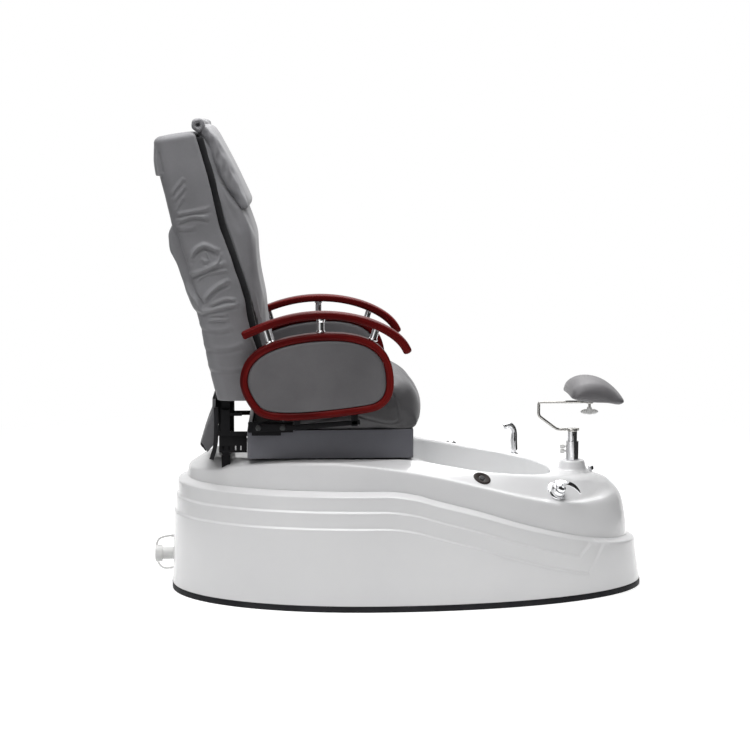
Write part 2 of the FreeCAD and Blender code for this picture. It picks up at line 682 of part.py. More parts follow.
def coil_point(turns):
    """Point of the flat two-layer coil after a number of turns: in on the floor, out on top."""
    inward = min(turns, 2 * COIL_TURNS - turns)
    radius = COIL_OUT - (COIL_OUT - COIL_IN) * inward / COIL_TURNS
    share = max(0.0, min(1.0, (turns - COIL_TURNS + COIL_RISE) / (2 * COIL_RISE)))
    angle = 2 * math.pi * (turns - 0.25)
    return V(COIL_X + radius * math.cos(angle), COIL_Y + radius * math.sin(angle),
             CORD_ROUTE[-1][2] + COIL_LAYER * share * share * (3 - 2 * share))


def biarc(start, start_way, end, end_way):
    """Two arcs that meet smoothly, from a start and its direction to an end and its direction."""
    chord, ways = end - start, start_way + end_way
    spread = 2 * (1 - start_way.dot(end_way))
    if spread < 1e-9:
        reach = chord.dot(chord) / (2 * chord.dot(ways))
    else:
        lean = chord.dot(ways)
        reach = (math.sqrt(lean * lean + spread * chord.dot(chord)) - lean) / spread
    first, second = start + start_way * reach, end - end_way * reach
    middle = (first + second) * 0.5
    way = second - first
    way.normalize()
    return [arc_edge(start, start_way, middle), arc_edge(middle, way, end)]


def cord_coil():
    """Put-away length of the cord, wound flat in two layers, with a straight end for the plug."""
    quarters = int(8 * COIL_TURNS)
    spots = [coil_point(step / 4) for step in range(quarters + 1)]
    ways = []
    for step in range(quarters + 1):
        way = coil_point(step / 4 + 0.002) - coil_point(step / 4 - 0.002)
        way.normalize()
        ways.append(X_AXIS if step in (0, quarters) else way)
    edges = [Part.makeLine(V(*CORD_ROUTE[-1]), spots[0])]
    for step in range(quarters):
        edges += biarc(spots[step], ways[step], spots[step + 1], ways[step + 1])
    edges.append(Part.makeLine(spots[-1], spots[-1] + X_AXIS * COIL_TAIL))
    path = Part.Wire(edges)
    coil = swept(path, CORD_R)
    print("coil volume ratio", round(coil.Volume / (math.pi * CORD_R ** 2 * path.Length), 4),
          "length", round(path.Length), "least gap", round(least_gap(path), 2), "solids", len(coil.Solids))
    return coil


def least_gap(path):
    """Least free space between turns of a coiled cord, measured on points of its path."""
    points = path.discretize(Distance=3)
    apart = int(8 * CORD_R / 3)
    return min((a - b).Length for i, a in enumerate(points) for b in points[i + apart:]) - 2 * CORD_R


def plug():
    """Mains plug lying at the end of the coil."""
    end = coil_point(2 * COIL_TURNS) + X_AXIS * COIL_TAIL
    collar = rod(end, end + X_AXIS * 16, 6)
    body = box(end.x + 16, end.x + 16 + PLUG_LONG, end.y - 19, end.y + 19, 0.4, 2 * end.z - 0.4)
    body = eased(body, 5, X_AXIS)
    pins = [rod((end.x + 16 + PLUG_LONG, end.y + side, end.z), (end.x + 35 + PLUG_LONG, end.y + side, end.z), 2.4)
            for side in (-9.5, 9.5)]
    return body.fuse([collar] + pins).removeSplitter()


# Fittings on the deck

def fitting_hole(spot, radius, depth=30):
    point, normal = spot
    return rod(point - normal * depth, point + normal * 60, radius + FIT)


def air_spot():
    return deck_spot(AIR_X, AIR_Y)


def pad_spot():
    return deck_spot(PAD_X, PAD_Y)


def tap_spot():
    return deck_spot(TAP_X, TAP_Y)


def pad_oval(grow, low, high):
    """Oval block in the control pad's own frame, long way along X."""
    ring = Part.Wire(Part.Ellipse(V(0, 0, low), 26.5 + grow, 21 + grow).toShape())
    return Part.Face(ring).extrude(V(0, 0, high - low))


def deck_holes():
    """Everything that is cut through the deck for its fittings."""
    holes = [fitting_hole(air_spot(), 18.5), fitting_hole(tap_spot(), 30),
             placed(pad_oval(FIT, -30, 40), *pad_spot()),
             rod((SHOWER_X, SHOWER_Y, 300), (SHOWER_X, SHOWER_Y, 420), 18 + FIT),
             rod((KNOB_X, KNOB_Y, 300), (KNOB_X, KNOB_Y, 400), 5 + FIT),
             rod((POST_X, 0, 300), (POST_X, 0, 420), SLEEVE_R + FIT)]
    for side in (-1, 1):
        holes += [rod((x, side * LEG_Y, 400), (x, side * LEG_Y, 440), 4 + FIT) for x in DECK_BOLTS]
        holes.append(stop_block(side, FIT))
    return holes


def stop_block(side, grow):
    low, high = sorted((side * (168 - grow), side * (188 + grow)))
    return box(-553 - grow, -528 + grow, low, high, 392 - grow, 429 + grow)


def basin_holes():
    return jet_holes() + [rod((SUCTION_X, 0, 80), (SUCTION_X, 0, 140), 16 + FIT),
                          rod((DRAIN_X, 0, 80), (DRAIN_X, 0, 140), 26 + FIT)]


def mixer_base():
    base = turned([(0, -30), (16, -30), (16, -9), (30, -9), (30, 2), (27, 5), (24, 7), (23, 15), (18, 22),
                   (0, 22)])
    return placed(base.cut(rod((0, 0, 6), (0, 0, 30), 6 + RUNNING_FIT)), *tap_spot())


def mixer_cap():
    """Turning cap of the mixer, with the lug that the lever tips on."""
    cap = turned([(0, 8), (6, 8), (6, 22.3), (17, 22.3), (17, 27), (12, 33), (0, 35)])
    lug = box(-5, 5, -4, 4, 30, 46).cut(rod((0, -9, LIFT_Z), (0, 9, LIFT_Z), 2 + RUNNING_FIT))
    return placed(cap.fuse(lug), *tap_spot())


def mixer_lever():
    """Arched lever over the cap, from a low rear end over a peak to its front end."""
    top = Part.Arc(V(-27, -8, 39), V(12, -8, 61), V(60, -8, 44)).toShape()
    low = Part.Arc(V(-26, -8, 36), V(12, -8, 55), V(58, -8, 39)).toShape()
    ends = [Part.makeLine(top.Vertexes[i].Point, low.Vertexes[i].Point) for i in (0, 1)]
    blade = Part.Face(Part.Wire(Part.__sortEdges__([top, low] + ends))).extrude(V(0, 16, 0))
    cheeks = [box(-6, 6, min(y), max(y), 38, 53) for y in ((4.3, 8), (-4.3, -8))]
    pin = rod((0, -8, LIFT_Z), (0, 8, LIFT_Z), 2)
    return placed(blade.fuse(cheeks + [pin]).removeSplitter(), *tap_spot())


def shower_seat():
    return deck_spot(SHOWER_X, SHOWER_Y)[0].z


def shower_socket():
    seat, bore = shower_seat(), 6 + RUNNING_FIT
    return turned([(bore, seat - 20), (14, seat - 20), (18, seat - 15), (18, seat + 8), (14, seat + 11),
                   (bore, seat + 11)], V(SHOWER_X, SHOWER_Y, 0))


def hand_shower():
    """Slim hand shower standing in its socket, with the straight hose that is pulled out after it."""
    seat = shower_seat()
    stem = turned([(0, 140), (6, 140), (6, seat + 11.3), (8, seat + 11.3), (7, seat + 20), (7, SHOWER_TOP),
                   (0, SHOWER_TOP + 4)], V(SHOWER_X, SHOWER_Y, 0))
    head = rod((SHOWER_X + 3, SHOWER_Y, 448), (SHOWER_X - 30, SHOWER_Y, 437), 13)
    return stem.fuse(head).removeSplitter()


def air_button_bezel():
    return placed(turned([(12, -12), (18.5, -12), (18.5, 3), (16, 6), (12, 6)]), *air_spot())


def air_button():
    return placed(turned([(0, -8), (12 - RUNNING_FIT * 4, -8), (12 - RUNNING_FIT * 4, 8), (9, 10), (0, 10)]),
                  *air_spot())


def control_pad():
    """Oval control pad set in the sloping shoulder, with a round bore for its button."""
    pad = pad_oval(0, -12, 1.5).cut(rod((0, 0, -9), (0, 0, 5), 9 + 4 * RUNNING_FIT))
    return placed(pad, *pad_spot())


def jet_button():
    return placed(turned([(0, -5), (9, -5), (9, 1.8), (7, 3), (0, 3)]), *pad_spot())


def drain_knob():
    return turned([(0, 310), (5, 310), (5, KNOB_Z + 1), (8.5, KNOB_Z + 1), (9, KNOB_Z + 12), (7, KNOB_Z + 15),
                   (0, KNOB_Z + 15)], V(KNOB_X, KNOB_Y, 0))


# Footrest

def post_sleeve():
    sleeve = tube((POST_X, 0, SLEEVE_FOOT), (POST_X, 0, SLEEVE_TOP), SLEEVE_R, TUBE_R + RUNNING_FIT)
    holes = [rod((POST_X - 30, 0, z), (POST_X, 0, z), 3 + RUNNING_FIT) for name, z in CLAMP_KNOBS]
    return sleeve.cut(group(holes))


def clamp_knob(z):
    """Small clamp screw in the sleeve, with a knurled head facing the sitter."""
    foot = POST_X - TUBE_R - 0.6
    return turned([(0, 0), (3, 0), (3, 8), (6, 8), (6.5, 12), (6.5, 20), (5, 22), (0, 22)],
                  V(foot, 0, z), X_AXIS * -1)


def footrest_tube():
    return tube((POST_X, 0, TUBE_FOOT), (POST_X, 0, TUBE_TOP), TUBE_R, TUBE_BORE)


def footrest_rod():
    """Bent rod that carries the foot pad, with its swivel cap and pin in the post."""
    bar = bent_bar([(x, 0, z) for x, z in ARM_ROD], ARM_ROD_R, 18)
    cap = turned([(0, 430), (TUBE_BORE - RUNNING_FIT, 430), (TUBE_BORE - RUNNING_FIT, TUBE_TOP + 0.2),
                  (16, TUBE_TOP + 0.2), (16, TUBE_TOP + 10), (13, TUBE_TOP + 13), (0, TUBE_TOP + 13)],
                 V(POST_X, 0, 0))
    x, z = FOOTPAD_STEM_X, ARM_ROD[-1][1]
    eye = tube((x, 0, z - ARM_ROD_R), (x, 0, z + ARM_ROD_R), 11, FOOTPAD_STEM_R + RUNNING_FIT)
    bar = bar.cut(rod((x, 0, z - 9), (x, 0, z + 9), FOOTPAD_STEM_R + RUNNING_FIT))
    return bar.fuse([cap, eye]).removeSplitter()


def footpad():
    return prism_spline(FOOTPAD_SIDE, FOOTPAD_HALF, 3)


def footpad_plate():
    """Plate under the foot pad with the stem that turns in the rod's eye."""
    x = FOOTPAD_STEM_X
    top = FOOTPAD_SIDE[-1][1]
    plate = box(x - 36, x + 42, -60, 60, top - 3, top)
    post = rod((x, 0, 519), (x, 0, top - 1), FOOTPAD_STEM_R)
    return plate.fuse(post)


def pad_knob():
    """Wing nut below the eye that clamps the foot pad."""
    x = FOOTPAD_STEM_X
    hub = rod((x, 0, 518), (x, 0, 542), 9)
    wings = eased(box(x - 27, x + 27, -4, 4, 518, 533), 3, Y_AXIS)
    return hub.fuse(wings).cut(rod((x, 0, 510), (x, 0, 550), FOOTPAD_STEM_R + RUNNING_FIT)).removeSplitter()


# Seat

def seat_rails():
    """Fixed rails under the seat and the two rear stops beside them."""
    rails = [box(RAIL_X0, RAIL_X1, side - RAIL_HALF, side + RAIL_HALF, RAIL_Z0, RAIL_Z1)
             for side in (-RAIL_Y, RAIL_Y)]
    return group(rails + [stop_block(side, 0) for side in (-1, 1)])


def seat_frame():
    """Sliding frame: channels over the rails, cross members, rear bars and pivot plates."""
    inner, outer = RAIL_HALF + GUIDE_GAP, RAIL_HALF + GUIDE_GAP + GUIDE_WALL
    top = RAIL_Z1 + 1
    pieces = []
    for side in (-RAIL_Y, RAIL_Y):
        channel = box(-462, -10, side - outer, side + outer, RAIL_Z0 + 6, top + GUIDE_WALL)
        pieces.append(channel.cut(box(-470, 0, side - inner, side + inner, RAIL_Z0, top)))
        for x in (-460, -50):
            pieces.append(box(x, x + 30, side - outer, side + outer, top + GUIDE_WALL, PAN_Z - 16))
    for x in (-460, -50):
        pieces.append(box(x, x + 30, -RAIL_Y - outer, RAIL_Y + outer, PAN_Z - 16, PAN_Z))
    cheeks = [box(ACTUATOR_X - 12, ACTUATOR_X + 12, y - 4, y + 4, ACTUATOR_Z - 10, PAN_Z) for y in (-13, 13)]
    hinge = cheeks[0].fuse([cheeks[1], rod((ACTUATOR_X, -17, ACTUATOR_Z), (ACTUATOR_X, 17, ACTUATOR_Z), 5)])
    brackets = []
    for side in (-1, 1):
        low, high = sorted((side * BAR_Y0, side * BAR_Y1))
        bar = box(-558, -464, low, high, 491, 504)
        plate = box(PIVOT_X - 13, PIVOT_X + 13, low, high, 491, 568)
        catch = box(PIVOT_X + 13, PIVOT_X + 48, low, high, 551, 559)
        pin = rod((PIVOT_X, side * (LEG_Y0 - 2), PIVOT_Z), (PIVOT_X, side * BAR_Y1, PIVOT_Z), PIVOT_R)
        brackets.append(bar.fuse([plate, catch, pin]).removeSplitter())
    return group(pieces + [hinge] + brackets)


def seat_pan():
    """Plywood pan in the box with a second ply under the cushion."""
    lower = box(SEAT_REAR + PANEL, SEAT_FRONT - PANEL, -SEAT_HALF + PANEL, SEAT_HALF - PANEL, PAN_Z, SEAT_BOX_Z1)
    upper = box(-374, 0, -200, 200, SEAT_BOX_Z1, 509)
    return lower.fuse(upper)


def seat_box():
    """Four panels round the seat frame, notched at the rear for the bars and the actuator."""
    outer = box(SEAT_REAR, SEAT_FRONT, -SEAT_HALF, SEAT_HALF, SEAT_BOX_Z0, SEAT_BOX_Z1)
    inner = box(SEAT_REAR + PANEL, SEAT_FRONT - PANEL, -SEAT_HALF + PANEL, SEAT_HALF - PANEL, 400, 520)
    cuts = [inner, box(-490, -460, -45, 45, 400, 520)]
    for side in (-1, 1):
        low, high = sorted((side * (BAR_Y0 - 2), side * (BAR_Y1 + 2)))
        cuts.append(box(-490, -460, low, high, 489, 520))
        cuts.append(box(-490, -460, side * RAIL_Y - RAIL_HALF - 2, side * RAIL_Y + RAIL_HALF + 2,
                        420, RAIL_Z1 + 2))
    return outer.cut(group(cuts))


def prism_spline(points, half, corner_count=0):
    """Prism across Y with a smooth side outline; the last points may be joined by straight lines."""
    straight = points[len(points) - corner_count:]
    smooth = points[:len(points) - corner_count] if corner_count else points
    if not corner_count:
        wire = closed_spline_xz(points, -half)
    else:
        curve = Part.BSplineCurve()
        curve.interpolate(Points=[V(x, -half, z) for x, z in smooth])
        path = [smooth[-1]] + straight + [smooth[0]]
        lines = [Part.makeLine(V(a[0], -half, a[1]), V(b[0], -half, b[1])) for a, b in zip(path, path[1:])]
        wire = Part.Wire([curve.toShape()] + lines)
    return Part.Face(wire).extrude(V(0, 2 * half, 0))


def seat_cushion():
    return prism_spline(CUSHION_SIDE, CUSHION_HALF, 1)


def arm_brackets():
    """Bolted plates beside the cushion that carry the armrest hinge pins."""
    pieces = []
    for side in (-1, 1):
        def across(y0, y1):
            return sorted((side * y0, side * y1))
        plate = box(-473, -343, *across(BRACKET_Y0, BRACKET_Y1), 508, 538)
        foot = box(-462, -378, *across(202, BRACKET_Y1), SEAT_BOX_Z1, 508)
        pin = rod((ARM_PIVOT_X, side * BRACKET_Y1, ARM_PIVOT_Z), (ARM_PIVOT_X, side * 276, ARM_PIVOT_Z), ARM_PIN_R)
        pieces.append(plate.fuse([foot, pin]).removeSplitter())
        x = BRACKET_BOLTS[1]
        pieces.append(rod((x, side * BRACKET_Y1, 523), (x, side * (BRACKET_Y1 + 3), 523), 7))
    return group(pieces)


def rear_apron():
    """Cloth panel that closes the gap between the backrest's foot and the deck."""
    outer = [V(x, -APRON_HALF, z) for x, z in APRON]
    inner = [V(x + APRON_THICK, -APRON_HALF, z) for x, z in APRON]
    curves = []
    for points in (outer, inner):
        curve = Part.BSplineCurve()
        curve.interpolate(Points=points)
        curves.append(curve.toShape())
    ends = [Part.makeLine(outer[i], inner[i]) for i in (0, -1)]
    wire = Part.Wire(Part.__sortEdges__(curves + ends))
    return Part.Face(wire).extrude(V(0, 2 * APRON_HALF, 0))


# Backrest

def inset_rear(points, amount):
    return [(x + amount, z) for x, z in points]


def back_shell():
    """Hollow back: side, rear and top panels, open towards the pad and below."""
    outline = BACK_REAR + BACK_TOP + BACK_FRONT
    outer = polygon_xz(outline, -BACK_HALF, BACK_HALF)
    cavity = inset_rear(BACK_REAR, BACK_WALL)
    cavity[0] = (cavity[0][0] - 16, 580)
    cavity += [(-708, 1330), (-560, 1345), (-300, 1345), (-300, 580)]
    return outer.cut(polygon_xz(cavity, -BACK_HALF + BACK_WALL, BACK_HALF - BACK_WALL))


def back_frame():
    """Pivot legs with their crank bar, the bar inside the back and the two massage rails."""
    inner = BACK_HALF - BACK_WALL
    half = POST / 2
    pieces = [box(PIVOT_X - 2, PIVOT_X + 22, -inner, inner, 616, 640)]
    foot = PIVOT_Z - CRANK_DROP
    for side in (-1, 1):
        low, high = sorted((side * LEG_Y0, side * LEG_Y1))
        leg = box(PIVOT_X - half, PIVOT_X + half, low, high, foot, 640)
        leg = leg.fuse(rod((PIVOT_X, low, foot), (PIVOT_X, high, foot), half))
        pieces.append(leg.cut(rod((PIVOT_X, low - 1, PIVOT_Z), (PIVOT_X, high + 1, PIVOT_Z),
                                  PIVOT_R + RUNNING_FIT)))
    pieces.append(rod((PIVOT_X, -LEG_Y1, foot), (PIVOT_X, LEG_Y1, foot), CRANK_BAR_R))
    frame = pieces[0].fuse(pieces[1:]).removeSplitter()
    way = massage_way()
    end = MASSAGE_START + way * MASSAGE_RAIL_LONG
    bars = [rod(point - Y_AXIS * inner, point + Y_AXIS * inner, 9) for point in (MASSAGE_START, end)]
    for side in (-1, 1):
        offset = Y_AXIS * side * MASSAGE_RAIL_Y
        bars.append(rod(MASSAGE_START + offset, end + offset, MASSAGE_RAIL_R))
    return group([frame, bars[0].fuse(bars[1:]).removeSplitter()])


def massage_way():
    way = V(MASSAGE_DIRECTION)
    way.normalize()
    return way


def massage_carriage():
    """Carriage on the two rails with a pair of rollers towards the sitter."""
    block = box(-17, 17, -112, 112, -28, 28)
    block = block.cut(group(rod((0, y, -40), (0, y, 40), MASSAGE_RAIL_R + RUNNING_FIT)
                            for y in (-MASSAGE_RAIL_Y, MASSAGE_RAIL_Y)))
    arms = [box(10, 44, y - 4, y + 4, -12, 12) for y in (-20, 20)]
    rollers = [rod((36, y - 10, 0), (36, y + 10, 0), 21) for y in (-40, 40)]
    axle = rod((36, -50, 0), (36, 50, 0), 5)
    carriage = block.fuse(arms + rollers + [axle]).removeSplitter()
    return placed(carriage, MASSAGE_START + massage_way() * CARRIAGE_AT, massage_way())


def back_pad():
    return prism_spline(PAD_SIDE, PAD_HALF)


def head_pillow():
    return prism_spline(PILLOW_SIDE, PILLOW_HALF)


def back_wrap():
    """Second layer of the cover over the middle of the back's rear face."""
    (x0, z0), (x1, z1) = BACK_REAR[2], BACK_REAR[3]

    def rear(z):
        return x0 + (x1 - x0) * (z - z0) / (z1 - z0)
    low, high = rear(WRAP_Z0), rear(WRAP_Z1)
    outline = [(low, WRAP_Z0), (low - WRAP_THICK, WRAP_Z0 + 4), (high - WRAP_THICK, WRAP_Z1 - 8),
               (high, WRAP_Z1)]
    return polygon_xz(outline, -BACK_HALF + 6, BACK_HALF - 6)


# Recline actuator

def actuator_line():
    """Start of the actuator, its unit direction to the crank bar and the distance between them."""
    start, end = V(ACTUATOR_X, 0, ACTUATOR_Z), V(PIVOT_X, 0, PIVOT_Z - CRANK_DROP)
    way = end - start
    reach = way.Length
    way.normalize()
    return start, way, reach


def actuator_body():
    """Actuator housing with its front eye and cross-mounted motor."""
    start, way, reach = actuator_line()
    body = rod(start + way * 22, start + way * ACTUATOR_LONG, ACTUATOR_R)
    eye = box(ACTUATOR_X - 30, ACTUATOR_X + 9, -8.6, 8.6, ACTUATOR_Z - 10, ACTUATOR_Z + 9)
    motor = rod((ACTUATOR_X - 52, 10, ACTUATOR_Z - 1), (ACTUATOR_X - 52, 78, ACTUATOR_Z - 1), 17)
    body = body.fuse([eye, motor])
    bore = rod(start + way * 52, start + way * (ACTUATOR_LONG + 10), ROD_R + RUNNING_FIT)
    pin = rod((ACTUATOR_X, -20, ACTUATOR_Z), (ACTUATOR_X, 20, ACTUATOR_Z), 5 + RUNNING_FIT)
    return body.cut(group([bore, pin])).removeSplitter()


def actuator_rod():
    """Push rod with an open-clearance eye round the crank bar."""
    start, way, reach = actuator_line()
    end = start + way * reach
    bore = CRANK_BAR_R + PIVOT_PLAY
    stem = rod(start + way * 112, end - way * (bore + 1), ROD_R)
    eye = rod(end - Y_AXIS * 8, end + Y_AXIS * 8, bore + 3)
    hole = rod(end - Y_AXIS * 12, end + Y_AXIS * 12, bore)
    return stem.fuse(eye).cut(hole).removeSplitter()


# Armrests, built on the sitter's left and mirrored

def outline_inside(points, amount, count=64):
    """Points inside a closed smooth outline by an amount, taken square to it."""
    edge = closed_spline_xz(points, 0).Edges[0]
    inside = []
    centre_x = sum(x for x, z in points) / len(points)
    centre_z = sum(z for x, z in points) / len(points)
    first, last = edge.ParameterRange
    for step in range(count):
        u = first + (last - first) * step / count
        point, way = edge.valueAt(u), edge.tangentAt(u)
        across = V(-way.z, 0, way.x)
        if across.dot(V(centre_x - point.x, 0, centre_z - point.z)) < 0:
            across = across * -1
        inside.append((point.x + across.x * amount, point.z + across.z * amount))
    return inside


def spline_block(points, y0, y1):
    return Part.Face(closed_spline_xz(points, y0)).extrude(V(0, y1 - y0, 0))


def arm_hoop():
    outer = spline_block(HOOP_OUTLINE, HOOP_INNER, HOOP_OUTER)
    inner = spline_block(outline_inside(HOOP_OUTLINE, HOOP_BAR), HOOP_INNER - 5, HOOP_OUTER + 5)
    return outer.cut(inner)


def arm_pad():
    return spline_block(outline_inside(HOOP_OUTLINE, HOOP_BAR + 0.2), ARM_PAD_INNER, ARM_PAD_OUTER)


def arm_rail():
    """Bowed timber arm rail."""
    low_y = RAIL_Y_MID - RAIL_WIDE / 2
    under = []
    for step, (x, z) in enumerate(RAIL_TOP):
        before, after = RAIL_TOP[max(0, step - 1)], RAIL_TOP[min(len(RAIL_TOP) - 1, step + 1)]
        way = V(after[0] - before[0], 0, after[1] - before[1])
        way.normalize()
        under.append((x + way.z * RAIL_THICK, z - way.x * RAIL_THICK))
    top, low = spline_edge(RAIL_TOP, low_y), spline_edge(under, low_y)
    ends = [Part.makeLine(V(RAIL_TOP[i][0], low_y, RAIL_TOP[i][1]), V(under[i][0], low_y, under[i][1]))
            for i in (0, -1)]
    wire = Part.Wire(Part.__sortEdges__([top, low] + ends))
    return Part.Face(wire).extrude(V(0, RAIL_WIDE, 0))


def arm_metal():
    """Three round posts between hoop and rail, and the hinge bar under the hoop."""
    hoop, rail = arm_hoop(), arm_rail()
    pieces = []
    for x, z, lean in ARM_POSTS:
        way = V(-math.sin(math.radians(lean)), 0, math.cos(math.radians(lean)))
        foot = V(x, RAIL_Y_MID, z) - way * 8
        post = rod(foot, foot + way * 82, ARM_POST_R).cut(hoop).cut(rail)
        pieces.append(nearest_solid(post, z + 22))
    bar = polygon_xz([(-458, 511), (-428, 511), (-343, 516), (-149, 532), (-149, 545), (-343, 531),
                      (-440, 538), (-458, 536)], 262, 272)
    bar = bar.cut(rod((ARM_PIVOT_X, 250, ARM_PIVOT_Z), (ARM_PIVOT_X, 280, ARM_PIVOT_Z), ARM_PIN_R + RUNNING_FIT))
    for x in (-330, -165):
        strut = box(x - 9, x + 9, 264, 272, 525, 575).cut(hoop).cut(bar)
        pieces.append(nearest_solid(strut, 549))
    return group(pieces + [bar])


def nearest_solid(shape, z):
    """Solid of a shape whose centre is nearest to a height."""
    return min(shape.Solids, key=lambda solid: abs(solid.CenterOfMass.z - z))


NODES = {
    "floor_trim": floor_trim,
    "skirt_shell": lambda: skirt_shell(rear_holes()),
    "deck_shell": lambda: deck_shell(deck_holes()),
    "foot_basin": lambda: foot_basin(basin_holes()),
    "base_frame": base_frame,
    "levelling_feet": levelling_feet,
    "bath_pump": bath_pump,
    "jet_manifold": jet_manifold,
    "suction_fitting": suction_fitting,
    "drain_fitting": drain_fitting,
    "drain_union": drain_union,
    "drain_stopper": drain_stopper,
    "supply_inlets": supply_inlets,
    "power_box": power_box,
    "cord_gland": cord_gland,
    "mains_cord": mains_cord,
    "cord_coil": cord_coil,
    "plug": plug,
    "mixer_base": mixer_base,
    "mixer_cap": mixer_cap,
    "mixer_lever": mixer_lever,
    "shower_socket": shower_socket,
    "hand_shower": hand_shower,
    "air_button_bezel": air_button_bezel,
    "air_button": air_button,
    "control_pad": control_pad,
    "jet_button": jet_button,
    "drain_knob": drain_knob,
    "post_sleeve": post_sleeve,
    "footrest_tube": footrest_tube,
    "footrest_rod": footrest_rod,
    "footpad": footpad,
    "footpad_plate": footpad_plate,
    "pad_knob": pad_knob,
    "seat_rails": seat_rails,
    "seat_frame": seat_frame,
    "seat_pan": seat_pan,
    "seat_box": seat_box,
    "seat_cushion": seat_cushion,
    "arm_brackets": arm_brackets,
    "rear_apron": rear_apron,
    "back_shell": back_shell,
    "back_frame": back_frame,
    "massage_carriage": massage_carriage,
    "back_pad": back_pad,
    "head_pillow": head_pillow,
    "back_wrap": back_wrap,
    "actuator_body": actuator_body,
    "actuator_rod": actuator_rod,
}

if __name__ == "__main__":
    os.makedirs("parts", exist_ok=True)
    for name, build in NODES.items():
        build().exportStep("parts/%s.step" % name)
    for name, z in CLAMP_KNOBS:
        clamp_knob(z).exportStep("parts/clamp_knob_%s.step" % name)
    for name, build in (("hoop", arm_hoop), ("pad", arm_pad), ("rail", arm_rail), ("metal", arm_metal)):
        left = build()
        left.exportStep("parts/arm_%s_left.step" % name)
        mirrored(left).exportStep("parts/arm_%s_right.step" % name)
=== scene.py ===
"""Pedicure spa chair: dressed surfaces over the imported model.

Sizes are in millimetres, as in the part's source, and every mesh is written in metres.
+X is the way the sitter faces, +Y is the sitter's left and +Z is up from the floor.
"""

import logging
import math
from dataclasses import dataclass, field
from enum import Enum
from typing import Callable, Optional, Sequence

import bpy
import numpy as np
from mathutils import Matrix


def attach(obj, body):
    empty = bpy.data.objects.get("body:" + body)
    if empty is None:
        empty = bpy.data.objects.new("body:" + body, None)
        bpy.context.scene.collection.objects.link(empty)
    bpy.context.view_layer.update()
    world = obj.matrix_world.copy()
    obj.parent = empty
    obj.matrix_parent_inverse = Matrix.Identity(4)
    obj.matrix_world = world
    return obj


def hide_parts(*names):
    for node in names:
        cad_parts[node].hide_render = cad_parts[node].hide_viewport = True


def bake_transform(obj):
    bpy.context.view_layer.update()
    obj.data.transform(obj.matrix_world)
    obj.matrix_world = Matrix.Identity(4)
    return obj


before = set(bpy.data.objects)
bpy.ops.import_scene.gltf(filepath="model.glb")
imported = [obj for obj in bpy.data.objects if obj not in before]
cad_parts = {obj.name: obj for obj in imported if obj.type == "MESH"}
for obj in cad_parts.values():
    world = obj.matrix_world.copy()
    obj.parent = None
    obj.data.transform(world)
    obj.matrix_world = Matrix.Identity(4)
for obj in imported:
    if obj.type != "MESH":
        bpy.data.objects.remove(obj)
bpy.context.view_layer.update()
LOG = logging.getLogger("spa_chair")

MM = 0.001
Array = np.ndarray
Points = Sequence[tuple[float, ...]]
Socket = bpy.types.NodeSocket
Thing = bpy.types.Object


# Curves

def smoothstep(share: Array) -> Array:
    """Share clipped to 0 and 1 and eased: 3 s squared less 2 s cubed."""
    share = np.clip(share, 0.0, 1.0)
    return share * share * (3 - 2 * share)


def along(profile: Points, x: Array) -> Array:
    """Height of a profile at x: a monotone cubic through its points, flat beyond them.

    The tangent at an inner point is the harmonic mean of the slopes beside it, or nothing
    where they differ in sign, and each span is the cubic Hermite curve between its ends.
    Args:
        profile: points of X and Z in order of X.
        x: places along it.
    Returns:
        Heights, one for each place.
    """
    xs, zs = np.array(profile, float).T
    span = np.diff(xs)
    slope = np.diff(zs) / span
    before, after = slope[:-1], slope[1:]
    total = np.where(before + after == 0, 1.0, before + after)
    inner = np.where(before * after > 0, 2 * before * after / total, 0.0)
    tangent = np.concatenate([slope[:1], inner, slope[-1:]])
    x = np.clip(np.asarray(x, float), xs[0], xs[-1])
    i = np.clip(np.searchsorted(xs, x, side="right") - 1, 0, len(span) - 1)
    t = (x - xs[i]) / span[i]
    return ((2 * t**3 - 3 * t**2 + 1) * zs[i] + (t**3 - 2 * t**2 + t) * span[i] * tangent[i]
            + (3 * t**2 - 2 * t**3) * zs[i + 1] + (t**3 - t**2) * span[i] * tangent[i + 1])


